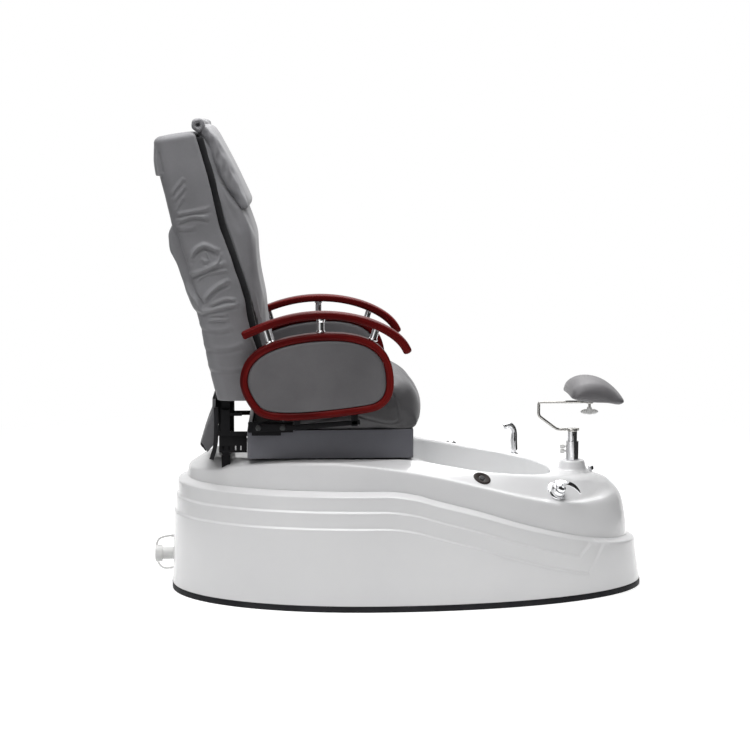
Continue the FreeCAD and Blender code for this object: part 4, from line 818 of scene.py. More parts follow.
@dataclass(frozen=True)
class Room:
    """Pale floor and soft studio light from the front, above and behind."""

    floor_half: float = 60.0
    world_strength: float = 0.20
    floor_glow: float = 0.45
    fade_near: float = 1.3
    fade_far: float = 3.6
    lamps: tuple = (
        ("key_lamp", (-2.1, -4.1, 2.8), (-0.3, 0.0, 0.5), 3.0, 16.0),
        ("top_lamp", (-0.7, -0.5, 4.1), (-0.3, 0.0, 0.4), 3.6, 182.0),
        ("deck_lamp", (0.5, 1.9, 3.1), (0.4, 0.1, 0.3), 2.0, 66.0),
    )

    def build(self) -> None:
        """Adds the floor, the lamps and the world."""
        self.floor()
        self.reflection_panels()
        self.world()
        for name, place, target, size, power in self.lamps:
            self.lamp(name, place, target, size, power)
        bpy.context.scene.view_settings.view_transform = "Standard"

    @staticmethod
    def seen_plainly(tree: bpy.types.NodeTree) -> Socket:
        """One where a ray comes from the camera, a reflection or glass, and nothing elsewhere."""
        rays = tree.nodes.new("ShaderNodeLightPath")
        found = rays.outputs["Is Camera Ray"]
        for other in ("Is Glossy Ray", "Is Transmission Ray"):
            either = tree.nodes.new("ShaderNodeMath")
            either.operation = "MAXIMUM"
            tree.links.new(found, either.inputs[0])
            tree.links.new(rays.outputs[other], either.inputs[1])
            found = either.outputs[0]
        return found

    @staticmethod
    def sheet(name: str, corners: Points) -> Thing:
        """Flat four-cornered piece of the room."""
        mesh = bpy.data.meshes.new(name)
        mesh.from_pydata(list(corners), [], [(0, 1, 2, 3)])
        thing = bpy.data.objects.new(name, mesh)
        bpy.context.scene.collection.objects.link(thing)
        return thing

    def floor(self) -> None:
        """Flat pale floor: it takes the shadow near the chair and fades to plain white beyond.

        The fade is the eased share of the way from the near to the far radius round the
        chair. The floor's own colour falls and its white glow rises with it.
        """
        half = self.floor_half
        floor = self.sheet("floor", [(-half, -half, 0), (half, -half, 0), (half, half, 0), (-half, half, 0)])
        shader = Shader("pale_floor")
        reach = shader.node("ShaderNodeVectorMath", {0: shader.place()}, operation="LENGTH").outputs["Value"]
        fade = shader.span(reach, self.fade_near, self.fade_far, 0.0, 1.0, True)
        shader.feed("Base Color", shader.tones(fade, [(0.0, (0.86, 0.86, 0.86)), (1.0, (0.0, 0.0, 0.0))]))
        shader.put(Roughness=0.95, Specular_IOR_Level=0.0)
        shader.surface.inputs["Emission Color"].default_value = (1, 1, 1, 1)
        glow = shader.span(fade, 0.0, 1.0, self.floor_glow, 1.0)
        seen = self.seen_plainly(shader.tree)
        plain = shader.node("ShaderNodeMath", {0: seen, 1: glow}, operation="MULTIPLY")
        shader.feed("Emission Strength", plain.outputs[0])
        floor.data.materials.append(shader.material)

    def reflection_panels(self) -> None:
        """Dark glowing panels round the room, seen only by reflection rays: painted reflections that show as
        dark and gray streaks in metal.

        Each has its two floor corners and its tone.
        """
        glowing_panels = (("side_reflection_panel", (1.1, -2.5), (2.3, 1.5), 0.03),
                  ("front_reflection_panel", (-0.25, -2.6), (1.1, -2.5), 0.04),
                  ("gray_reflection_panel", (-1.3, -2.7), (-0.25, -2.6), 0.34),
                  ("left_reflection_panel", (-2.1, -1.8), (-1.8, 1.6), 0.22))
        for name, start, end, tone in glowing_panels:
            cloth = self.sheet(name, [(*start, 0.01), (*end, 0.01), (*end, 2.6), (*start, 2.6)])
            for kind in ("camera", "diffuse", "shadow", "transmission", "volume_scatter"):
                setattr(cloth, "visible_" + kind, False)
            shader = Shader(name + "_cloth")
            # Each panel glows at its tone: a painted reflection, seen only in metal and gloss.
            shader.put(Base_Color=(0.0, 0.0, 0.0), Roughness=1.0, Specular_IOR_Level=0.0,
                       Emission_Strength=tone, Emission_Color=(1.0, 1.0, 1.0))
            cloth.data.materials.append(shader.material)

    def world(self) -> None:
        """Even world light, seen as white."""
        world = bpy.data.worlds.new("studio")
        world.use_nodes = True
        bpy.context.scene.world = world
        tree = world.node_tree
        tree.nodes.clear()
        output = tree.nodes.new("ShaderNodeOutputWorld")
        mix = tree.nodes.new("ShaderNodeMixShader")
        for socket, strength in ((1, self.world_strength), (2, 1.0)):
            background = tree.nodes.new("ShaderNodeBackground")
            background.inputs["Color"].default_value = (1, 1, 1, 1)
            background.inputs["Strength"].default_value = strength
            tree.links.new(background.outputs[0], mix.inputs[socket])
        tree.links.new(self.seen_plainly(tree), mix.inputs[0])
        tree.links.new(mix.outputs[0], output.inputs[0])

    @staticmethod
    def lamp(name: str, place: Points, target: Points, size: float, power: float) -> None:
        """Square soft lamp aimed at a point."""
        data = bpy.data.lights.new(name, "AREA")
        data.size, data.energy = size, power
        lamp = bpy.data.objects.new(name, data)
        lamp.location = place
        way = np.array(place, float) - np.array(target, float)
        flat = math.hypot(way[0], way[1])
        lamp.rotation_euler = (math.atan2(flat, way[2]), 0.0, math.atan2(way[1], way[0]) + math.pi / 2)
        bpy.context.scene.collection.objects.link(lamp)


# Mains cord

@dataclass
class MainsCord:
    """White mains cord: out of the rear wall, along the floor, and wound flat behind the base."""

    radius: float = 3.5
    route: Points = (
        (-722, 96, 132), (-757, 102, 128), (-772, 128, 98), (-772, 142, 46), (-757, 176, 9),
        (-724, 222, 3.6), (-680, 278, 3.6), (-634, 330, 3.6), (-584, 366, 3.6), (-528, 378, 3.6),
        (-489, 377.8, 3.6))
    coil_at: Points = (-482, 426)
    coil_out: float = 48.2
    coil_in: float = 28.9
    turns: float = 2.5
    layer: float = 7.8
    rise: float = 0.25
    tail: float = 28.0
    length: float = 1.78

    def coil(self) -> Array:
        """Points of the two-layer coil, 14 a turn: in on the floor, then out on top.

        At a count n of turns the angle is 2 pi (n - 1/4), the radius goes evenly from the
        outer to the inner and back, and the height climbs a layer at the innermost turn.
        """
        n = np.linspace(0, 2 * self.turns, int(2 * self.turns * 14) + 1)
        inward = np.minimum(n, 2 * self.turns - n)
        radius = self.coil_out - (self.coil_out - self.coil_in) * inward / self.turns
        angle = 2 * math.pi * (n - 0.25)
        height = self.route[-1][2] + self.layer * smoothstep((n - self.turns + self.rise) / (2 * self.rise))
        return np.stack([self.coil_at[0] + radius * np.cos(angle), self.coil_at[1] + radius * np.sin(angle),
                         height], -1)

    def build(self) -> None:
        """Adds the cord with its relief and plug."""
        coil = self.coil()
        end = coil[-1] + (self.tail, 0, 0)
        points = np.vstack([np.array(self.route), coil, end]) * MM
        curve = bpy.data.curves.new("mains_lead", "CURVE")
        curve.dimensions = "3D"
        spline = curve.splines.new("NURBS")
        spline.points.add(len(points) - 1)
        spline.points.foreach_set("co", np.hstack([points, np.ones((len(points), 1))]).ravel())
        spline.order_u = 3
        spline.use_endpoint_u = True
        spline.resolution_u = 8
        curve.bevel_depth = self.radius * MM
        curve.bevel_resolution = 4
        curve.use_fill_caps = True
        curve.materials.append(WHITE_PLASTIC.material())
        lead = bpy.data.objects.new("mains_lead", curve)
        bpy.context.scene.collection.objects.link(lead)
        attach(lead, "base")
        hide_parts("mains_cord", "cord_coil")
        relief = self.relief()
        plug = self.plug(end)
        LOG.info("mains lead with %s and %s", relief.name, plug.name)

    def relief(self) -> Thing:
        """Ribbed tapered relief where the cord leaves the rear wall."""
        ribs = [(8.0, 0), (8.0, 50), (11, 50), (11, 58), (7.6, 60)]
        for step in range(5):
            at, radius = 62 + 4 * step, 7.4 - 0.55 * step
            ribs += [(radius, at), (radius, at + 2), (radius - 1.1, at + 2.4), (radius - 1.1, at + 3.8)]
        ribs += [(4.6, 82), (0, 82)]
        surface = turned([(0, 0)] + ribs, (-640, 96, 132), (-1, 0, 0), 0.4, 32)
        return dressed("cord_relief", surface, "base", WHITE_PLASTIC, ["cord_gland"])

    def plug(self, end: Array) -> Thing:
        """Moulded plug with a ribbed collar and two pins, lying at the end of the coil."""
        x, y, z = end
        way, pin = (1, 0, 0), [(0, 0), (2.4, 0), (2.4, 18), (1.6, 19), (0, 19)]
        ribs = [(0, 0), (4.6, 0), (5.0, 4), (6.0, 6), (5.2, 8), (6.2, 10), (5.6, 12), (6.0, 17), (0, 17)]
        collar = turned(ribs, (x, y, z), way, 0.5, 24)
        body = block((x + 16, y - 19, 0.4), (x + 68, y + 19, 2 * z - 0.4), 5.0)
        pins = [turned(pin, (x + 68, y + side, z), way, 0.4, 20) for side in (-9.5, 9.5)]
        return dressed("mains_plug", collar.joined(body, *pins), "base", WHITE_PLASTIC, ["plug"])


# Base mouldings

@dataclass(frozen=True)
class Oval:
    """Plan oval: centre X, reach to the rear and front, half width, and each end's power."""

    centre: float | Array
    rear: float | Array
    front: float | Array
    half: float | Array
    rear_power: float | Array
    front_power: float | Array

    def grown(self, amount: float | Array, nose: float | Array = 0.0) -> "Oval":
        """Oval with its reaches grown, and its front reach by nose more."""
        return Oval(self.centre, self.rear + amount, self.front + amount + nose, self.half + amount,
                    self.rear_power, self.front_power)

    def toward(self, other: "Oval", share: float | Array) -> "Oval":
        """Oval a share of the way to another."""
        mine, theirs = vars(self).values(), vars(other).values()
        return Oval(*(a + (b - a) * share for a, b in zip(mine, theirs)))

    def at(self, turn: Array) -> tuple[Array, Array]:
        """X and Y on the ray through the ellipse's point at an angle from the nose.

        The ray is scaled by (|x / reach|^p + |y / half|^p)^(-1/p).
        """
        cosine, sine = np.cos(turn), np.sin(turn)
        reach = np.where(cosine >= 0, self.front, self.rear)
        power = np.where(cosine >= 0, self.front_power, self.rear_power)
        scale = (np.abs(cosine) ** power + np.abs(sine) ** power) ** (-1 / power)
        return self.centre + reach * cosine * scale, self.half * sine * scale


Plan = Callable[[Array], Oval]
Height = Callable[[Array], Array]


@dataclass
class FootBath:
    """White base: stepped skirt, upper moulding with the deck, bath liner, nose boss and floor strip."""

    skirt_foot: Oval = Oval(-100, 612, 820, 375, 2.12, 2.0)
    skirt_head: Oval = Oval(-100, 602, 774, 365, 2.12, 2.0)
    skirt_head_z: float = 330.0
    wall_foot: Oval = Oval(-100, 595, 777, 343, 2.12, 2.0)
    wall_head: Oval = Oval(-100, 551, 760, 318, 2.12, 2.0)
    wall_foot_z: float = 130.0
    wall_head_z: float = 430.0
    crest: Oval = Oval(150, 750, 405, 244, 3.0, 1.8)
    bath_edge: Oval = Oval(150, 170, 295, 234, 3.2, 2.2)
    ledge: Points = (
        (-720, 333), (-80, 333), (0, 324), (78, 302), (195, 269), (314, 229), (437, 192), (565, 160),
        (640, 147), (720, 137))
    crease: Points = (
        (-660, 378), (-592, 386), (-480, 408), (-350, 424), (-237, 426), (-151, 420), (-30, 404), (81, 383),
        (199, 353), (319, 320), (442, 291), (500, 283), (550, 285), (590, 304), (612, 328))
    deck: Points = (
        (-620, 407), (-540, 417), (-440, 424), (-20, 425), (60, 411), (140, 397), (203, 386), (292, 374),
        (380, 362), (454, 353), (560, 344))
    ledge_rise: float = 12.0
    strip_high: float = 18.0
    step_depth: float = 5.0
    step_drops: Points = (48.0, 96.0)
    step_bevel: float = 8.0
    tick_feet: Points = ((508.0, 125.0), (535.0, 68.0))
    tick_heads: Points = ((533.0, 150.0), (567.0, 125.0))
    nose_start: float = 440.0
    bath_floor_z: float = 122.0
    post_x: float = 508.0

    def turns(self, count: int = 300, extra: int = 90) -> Array:
        """Angles round the base from rear to rear, evenly spread and closer by the step ends."""
        even = np.linspace(0, math.pi, count // 2, endpoint=False)
        near = np.linspace(0.42, 0.86, extra)
        half = np.unique(np.round(np.concatenate([even, near]), 4))
        return np.concatenate([half, 2 * math.pi - half[:0:-1]])

    def skirt_plan(self, z: Array, inset: float | Array = 0.0) -> Oval:
        """Skirt's oval at a height."""
        return self.skirt_foot.toward(self.skirt_head, z / self.skirt_head_z).grown(-inset)

    def wall(self, inset: float = 0.0, nose: float = 0.0) -> Plan:
        """Upper wall's oval at each height, drawn in by an inset, and by more at the nose."""
        low, high = self.wall_foot_z, self.wall_head_z
        return lambda z: self.wall_foot.toward(
            self.wall_head, (z - low) / (high - low)).grown(-inset, -nose)

    def on_ledge(self, rise: float) -> Height:
        """Height above the ledge."""
        return lambda x: along(self.ledge, x) + rise

    def on_deck(self, drop: float = 0.0) -> Height:
        """Height below the deck."""
        return lambda x: along(self.deck, x) - drop

    @staticmethod
    def level(z: float) -> Height:
        """One height everywhere."""
        return lambda x: x * 0 + z

    def ring(self, plan: Plan | Oval, height: Height, turn: Array) -> Array:
        """Ring on a plan, fixed or changing with height, at a height that changes along X."""
        oval = (lambda z: plan) if isinstance(plan, Oval) else plan
        z = height(oval(self.skirt_head_z).at(turn)[0])
        x, y = oval(z).at(turn)
        return np.stack([x, y, height(x)], -1)

    def step_inset(self, x: Array, z: Array) -> Array:
        """How far the skirt is set in at X and Z.

        Above each step's line the wall is 5 mm further in, as far forward as a slanted
        line; both edges are eased over the bevel, on the smaller of the two distances.
        """
        inset = np.zeros_like(x)
        for drop, foot, head in zip(self.step_drops, self.tick_feet, self.tick_heads):
            above = z - (along(self.ledge, x) - drop)
            slant = foot[0] + (z - foot[1]) * (head[0] - foot[0]) / (head[1] - foot[1])
            square = (slant - x) * 0.8
            inset += self.step_depth * smoothstep(np.minimum(above, square) / self.step_bevel)
        return inset

    def skirt(self) -> Surface:
        """Skirt wall, rounded lip and sloping ledge, closed by its inner face."""
        turn = self.turns()
        top = along(self.ledge, self.skirt_head.at(turn)[0])
        fine = np.concatenate([np.arange(100, 82, -1.4), np.arange(82, 54, -5.5), np.arange(53, 34, -1.4),
                               np.arange(33, 8, -4.0)])
        low = np.linspace(0, 1, 14, endpoint=False)[:, None]
        z = np.concatenate([self.strip_high + (top - 101.5 - self.strip_high) * low, top - fine[:, None]])
        x = self.skirt_plan(z).at(np.broadcast_to(turn, z.shape))[0]
        x, y = self.skirt_plan(z, self.step_inset(x, z)).at(np.broadcast_to(turn, z.shape))
        wall = np.stack([x, y, z], -1)
        total = self.step_inset(self.skirt_head.at(turn)[0], top)
        lip_x, lip_y = self.skirt_plan(top, total).at(turn)
        lip = np.stack([lip_x, lip_y, top], -1)
        foot = self.ring(self.wall(), self.on_ledge(self.ledge_rise), turn)
        tuck = self.ring(self.wall(7), self.on_ledge(self.ledge_rise), turn)
        over = eased(np.stack([wall[-1], lip, foot, tuck]), 5.0, 5)
        under = np.stack([
            self.ring(self.wall(12), self.on_ledge(6), turn),
            self.ring(lambda z: self.skirt_plan(z, 19), self.on_ledge(-6), turn),
            self.ring(lambda z: self.skirt_plan(z, 14), self.level(self.strip_high), turn)])
        return sheeted(np.concatenate([wall[:-1], over, under]), Ends.LOOP)

    def shoulders(self, turn: Array, inset: float = 0.0, drop: float = 0.0) -> Array:
        """Three rings that round the wall over into the deck, lower and lying back at the nose."""
        reach = float(self.wall_head.front + self.wall_head.centre)

        def lowered(side: float, nose: float) -> Height:
            """Height below the crease at the sides, running down to a height at the nose."""
            first = self.nose_start
            start = float(along(self.crease, np.array(first)))
            ramp = [(first, start - side), ((first + reach) / 2, (start + nose) / 2 - side), (reach, nose)]
            return lambda s: np.where(s < first, along(self.crease, s) - side, along(ramp, s)) - drop
        return np.stack([
            self.ring(self.wall(inset), lowered(11, 205), turn),
            self.ring(self.wall(inset + 1.5, 10), lowered(4, 282), turn),
            self.ring(self.wall(inset + 7, 48), lambda s: along(self.crease, s) - drop, turn)])

    def upper(self) -> Surface:
        """Upper moulding: wall, rounded shoulder, sloping deck and the rolled edge of the bath."""
        turn = self.turns(360, 60)
        seat = self.on_ledge(self.ledge_rise + 0.2)
        outer = np.concatenate([
            self.ring(self.wall(), seat, turn)[None], self.shoulders(turn),
            self.ring(self.crest, self.on_deck(), turn)[None],
            self.ring(self.bath_edge, self.on_deck(), turn)[None],
            self.ring(self.bath_edge.grown(-5.6), self.on_deck(9), turn)[None]])
        nose = smoothstep((outer[1:-1, :, :1] - self.nose_start) / 150)
        side = np.array([9.0, 9.0, 9.0, 34.0, 7.0])[:, None, None]
        front = np.array([46.0, 46.0, 13.0, 40.0, 7.0])[:, None, None]
        outer = eased(outer, side + (front - side) * nose, 7)
        outer = np.concatenate([in_between(outer[:2], 8)[:-1], outer[1:]])
        inner = np.concatenate([
            self.ring(self.bath_edge.grown(-1), self.on_deck(8), turn)[None],
            self.ring(self.crest.grown(-3), self.on_deck(8), turn)[None],
            self.shoulders(turn, 6, 5)[::-1], self.ring(self.wall(6), seat, turn)[None]])
        return sheeted(np.concatenate([outer, inner]), Ends.LOOP)

    def liner(self) -> Surface:
        """Foot bath: rolled rim, tapered wall, rounded heel and flat floor, with its outer face."""
        turn = self.turns(240, 30)

        def rings(grow: float, lower: float) -> Array:
            """Rings of one face from the rim to the floor."""
            floor = self.bath_floor_z - lower
            heights = ((6, self.on_deck(6.2)), (18, self.level(260)), (42, self.level(floor + 22)),
                       (58, self.level(floor)), (110, self.level(floor)))
            return np.stack([self.ring(self.bath_edge.grown(grow - inset), height, turn)
                             for inset, height in heights])
        reach = np.array([60.0, 22.0, 22.0])[:, None, None]
        inner, outer = eased(rings(0, 0), reach, 6), eased(rings(5, 5), reach, 6)
        return sheeted(np.concatenate([inner[::-1], outer]))

    def boss(self) -> Surface:
        """Raised boss round the footrest's post, flared into the deck."""
        z = float(along(self.deck, np.array(self.post_x)))
        profile = [(0, z - 10), (60, z - 10), (50, z - 1), (43, z + 5), (39, z + 20), (37, 376), (33, 379),
                   (20.4, 379), (20.4, 372), (0, 372)]
        return turned(profile, (self.post_x, 0, 0), ease=5.0, sides=72)

    def strip(self) -> Surface:
        """Black strip under the skirt, a little proud of it, with rounded edges."""
        turn = self.turns(260, 0)
        foot = self.skirt_plan(np.array(self.strip_high))
        outline = np.array([(-14, 0.0), (1.2, 0.0), (1.5, 2.0), (1.5, 16.0), (0.4, 17.9), (-14, 17.9)])
        rows = [self.ring(foot.grown(grow), self.level(z), turn) for grow, z in outline]
        return sheeted(np.stack(rows), Ends.LOOP)

    def build(self) -> None:
        """Adds the mouldings."""
        dressed("skirt_moulding", self.skirt(), "base", ACRYLIC, ["skirt_shell"], 50)
        dressed("deck_moulding", self.upper(), "base", ACRYLIC, ["deck_shell"], 60)
        dressed("bath_liner", self.liner(), "base", BASIN_ACRYLIC, ["foot_basin"], 60)
        dressed("post_boss", self.boss(), "base", ACRYLIC, sharp=60)
        dressed("floor_strip", self.strip(), "base", RUBBER, ["floor_trim"], 50)
        refinish(BLACK_STEEL, "base_frame")
        refinish(BLACK_PLASTIC, "levelling_feet", "bath_pump", "power_box")
        refinish(WHITE_PLASTIC, "jet_manifold", "suction_fitting", "drain_union")
        refinish(GRAY_PIPE, "drain_fitting")
        refinish(CHROME, "drain_stopper", "supply_inlets")


# Fittings on the deck

@dataclass
class DeckFittings:
    """Mixer tap, hand shower, air button, oval control pad and waste knob."""

    tap_at: Points = (434.0, -193.0, 316.7)
    tap_way: Points = (0.4596, -0.6778, 0.574)
    air_at: Points = (158.0, 262.0, 386.4)
    air_way: Points = (0.1911, 0.3992, 0.8967)
    pad_at: Points = (207.0, -265.0, 370.6)
    pad_way: Points = (0.2781, -0.6108, 0.7414)
    shower_at: Points = (355.0, 226.0, 335.5)
    knob_at: Points = (572.0, 42.0, 337.0)

    @staticmethod
    def axes(way: Points) -> tuple[Array, Array, Array]:
        """Local X, Y and Z of a fitting: the shortest turn that takes +Z to its way."""
        z = unit(np.array(way, float))
        axis, cosine = np.cross((0, 0, 1), z), z[2]
        cross = np.array([[0, -axis[2], axis[1]], [axis[2], 0, -axis[0]], [-axis[1], axis[0], 0]])
        turn = np.eye(3) + cross + cross @ cross / (1 + cosine)
        return turn[:, 0], turn[:, 1], z

    def set_in(self, surface: Surface, at: Points, way: Points) -> Surface:
        """Surface carried from a fitting's own frame to its place on the deck."""
        return surface.moved(surface.points @ np.array(self.axes(way)) + np.array(at))

    def lever(self) -> Surface:
        """Arched mixer lever: a rounded blade that swells in the middle and tips down at its end.

        Its spine is a smooth arc over the cap, and its section's width is
        8 + 3 sin(pi s) and its thickness 3 + 3 sin(pi s) in the share s along it.
        """
        spine = smooth_curve([(-27, 0, 37.5), (-8, 0, 51), (14, 0, 58), (38, 0, 53), (59, 0, 41.5)], 40)
        s = np.linspace(0, 1, 40)
        grow = np.sin(math.pi * s) ** 0.6
        wide, thick = (11 + 5 * grow) * (1 - 0.5 * (np.abs(2 * s - 1) ** 12)), 3.0 + 3.2 * grow
        turn = full_turn(28)
        section = np.stack([np.sign(np.cos(turn)) * np.abs(np.cos(turn)) ** 0.7,
                            np.sign(np.sin(turn)) * np.abs(np.sin(turn)) ** 0.8], -1)
        return carried(spine, sized(section, wide / 2, thick / 2))

    def mixer(self) -> None:
        """Escutcheon, turning cap and lever of the mixer."""
        base = turned([(0, -28), (16, -28), (16, -9), (30, -8), (30, 1.5), (27.5, 4.5), (24, 6.5), (23, 14),
                       (20, 19), (18.5, 21.8), (0, 21.8)], ease=1.6, sides=72)
        cap = turned([(0, 22.4), (17, 22.4), (17.2, 26), (14, 31.5), (8, 35), (5.5, 37), (5, 45), (3, 46.5),
                      (0, 46.5)], ease=2.0, sides=64)
        neck = turned([(0, 38), (5.6, 38), (6.2, 46), (6.0, 53), (0, 54)], ease=1.5, sides=32)
        place = (self.tap_at, self.tap_way)
        dressed("mixer_escutcheon", self.set_in(base, *place), "base", CHROME, ["mixer_base"])
        dressed("mixer_turning_cap", self.set_in(cap, *place), "mixer_head", CHROME, ["mixer_cap"])
        dressed("mixer_arched_lever", self.set_in(self.lever().joined(neck), *place), "mixer_handle", CHROME,
                ["mixer_lever"], 50)

    def shower(self) -> None:
        """Socket with a flared collar, and the curved hand shower with its head and spray face."""
        x, y, seat = self.shower_at
        socket = turned([(0, seat - 24), (14, seat - 24), (17, seat - 16), (17, seat + 13), (20.5, seat + 17),
                         (20.5, seat + 20), (14.5, seat + 25), (12.5, seat + 28), (0, seat + 28)],
                        (x, y, 0), ease=1.4)
        spine = smooth_curve([(x, y, seat + 28.5), (x, y, seat + 44), (x - 0.5, y, seat + 66),
                              (x, y, seat + 88), (x - 4, y, seat + 105), (x - 15, y, seat + 115),
                              (x - 28, y, seat + 113)], 70)
        share = np.linspace(0, 1, 70)
        radius = np.interp(share, [0, 0.03, 0.1, 0.35, 0.62, 0.8, 0.93, 1],
                           [9, 11.6, 12, 11.2, 9.8, 10.4, 12, 10.8])
        wand = bar(spine, radius, 32)
        way = unit(spine[-1] - spine[-3])
        rim = turned([(0, -6), (10.4, -6), (12.6, -1), (12.8, 4), (11.4, 6), (10.2, 5.2), (0, 5.2)],
                     spine[-1], way, 1.0, 40)
        hose = turned([(0, 140), (6, 140), (6, seat + 26), (0, seat + 26)], (x, y, 0), ease=0.3, sides=24)
        face = spine[-1] + way * 4.8
        pips = [turned([(0, 0), (0.9, 0), (0.7, 1.1), (0, 1.2)],
                       face + np.array([0, 1, 0]) * reach * math.cos(turn)
                       + np.cross(way, (0, 1, 0)) * reach * math.sin(turn), way, 0.2, 8)
                for reach, count in ((3.0, 5), (7.0, 10)) for turn in np.arange(count) * 2 * math.pi / count]
        dressed("shower_collar", socket, "base", CHROME, ["shower_socket"])
        dressed("shower_wand", wand.joined(rim, hose), "shower", CHROME, ["hand_shower"], 50)
        dressed("shower_spray_face", pips[0].joined(*pips[1:]), "shower", BLACK_PLASTIC)

    def buttons(self) -> None:
        """Air button in its ring, the dark oval pad with its button, and the waste knob."""
        ring = turned([(12.1, -10), (18.2, -10), (18.4, 2), (17.6, 4.6), (16, 6), (13.4, 6), (12.3, 5),
                       (12.1, 2)], ease=1.0, sides=56)
        top = turned([(0, -8), (11.8, -8), (11.8, 8), (10.6, 9.4), (8.6, 10), (7.6, 9.3), (0, 8.9)], ease=0.9)
        air = (self.air_at, self.air_way)
        dressed("air_button_ring", self.set_in(ring, *air), "base", CHROME, ["air_button_bezel"])
        dressed("air_button_top", self.set_in(top, *air), "bubble_button", CHROME, ["air_button"])
        turn = full_turn(72)
        rows = eased(np.array([(26.5, 21.0, -12.0), (26.5, 21.0, 1.1), (22.5, 17.0, 2.0), (9.6, 9.6, 1.2),
                               (9.1, 9.1, -3.0), (0.5, 0.5, -3.0)]), 1.2, 3)
        oval = ringed(rows[:, :1] * np.cos(turn), rows[:, 1:2] * np.sin(turn), rows[:, 2:])
        pad = (self.pad_at, self.pad_way)
        dressed("oval_control_pad", self.set_in(oval, *pad), "base", DARK_PAD, ["control_pad"])
        press = turned([(0, -2.6), (8.7, -2.6), (8.7, 1.8), (7.6, 2.7), (3, 3), (0, 2.6)], ease=0.6, sides=40)
        dressed("jet_button_top", self.set_in(press, *pad), "jet_control", BLACK_PLASTIC, ["jet_button"])
        x, y, z = self.knob_at
        grip = 1 + 0.05 * np.cos(12 * turn)
        rows = eased(np.array([(0.5, 310.0), (5, 310), (5, z + 1), (8.6, z + 1), (8.9, z + 4), (8.4, z + 12),
                               (6.8, z + 15), (3, z + 15.2), (0.3, z + 15.2)]), 0.9, 3)
        swell = np.where((rows[:, 1:] > z + 3) & (rows[:, 1:] < z + 13), grip, 1.0)
        reach = rows[:, :1] * swell
        knob = ringed(x + reach * np.cos(turn), y + reach * np.sin(turn), rows[:, 1:])
        dressed("waste_grip", knob, "waste_knob", CHROME, ["drain_knob"], 50)

    def build(self) -> None:
        """Adds the fittings."""
        self.mixer()
        self.shower()
        self.buttons()


# Soft forms

@dataclass
class Bolster:
    """Soft block: a side outline carried across Y, drawn in at its ends and crowned between them.

    At a place y the outline is drawn in by r (1 - sqrt(1 - u squared)), with u how far y is
    into the end's radius r, and pushed out by crown (1 - (y / half) squared). Weights along
    the outline say how much of each it takes.
    """

    outline: Points
    half: float
    radius: float = 24.0
    crown: float = 0.0
    points: int = 140
    rows: int = 40
    weight: Callable[[Array], Array] = lambda outline: np.ones(len(outline))
    rounding: Callable[[Array], Array] = lambda outline: np.ones(len(outline))

    def surface(self, inset: float = 0.0) -> Surface:
        """Closed surface, drawn in all over by an inset."""
        outline = smooth_curve(self.outline, self.points, True)
        half = self.half - inset
        ends = half - self.radius * (1 - np.sin(np.linspace(0, math.pi / 2, 10)))
        across = np.concatenate([-ends[::-1], np.linspace(-ends[0], ends[0], self.rows)[1:-1], ends])
        into = np.clip((np.abs(across) - (half - self.radius)) / self.radius, 0, 1)
        drawn = self.radius * (1 - np.sqrt(1 - into**2))
        push = self.crown * (1 - (across / half) ** 2)
        move = push[:, None] * self.weight(outline) - drawn[:, None] * self.rounding(outline) - inset
        plan = outline + outward_from(outline) * move[..., None]
        return ringed(plan[..., 0], across[:, None], plan[..., 1])


@dataclass(frozen=True)
class Fold:
    """Crease on a cover along a line of X and Z points: a ridge above it, a furrow below."""

    line: Points
    rise: float
    width: float = 6.0
    furrow: float = 0.9

    def lift(self, points: Array) -> Array:
        """Rise at each X and Z: a bell 0.7 of a width above the line less one as far below.

        Both fade to a quarter at the ends of the line.
        """
        line = smooth_curve(self.line, 18) if len(self.line) > 2 else np.array(self.line, float)
        ridge = np.exp(-(distance_to(points, line + (0, 0.7 * self.width)) / self.width) ** 2)
        dent = np.exp(-(distance_to(points, line - (0, 0.7 * self.width)) / (0.8 * self.width)) ** 2)
        ends = np.minimum(*(np.linalg.norm(points - end, axis=1) for end in (line[0], line[-1])))
        return self.rise * (ridge - self.furrow * dent) * (0.25 + 0.75 * smoothstep(ends / (2 * self.width)))


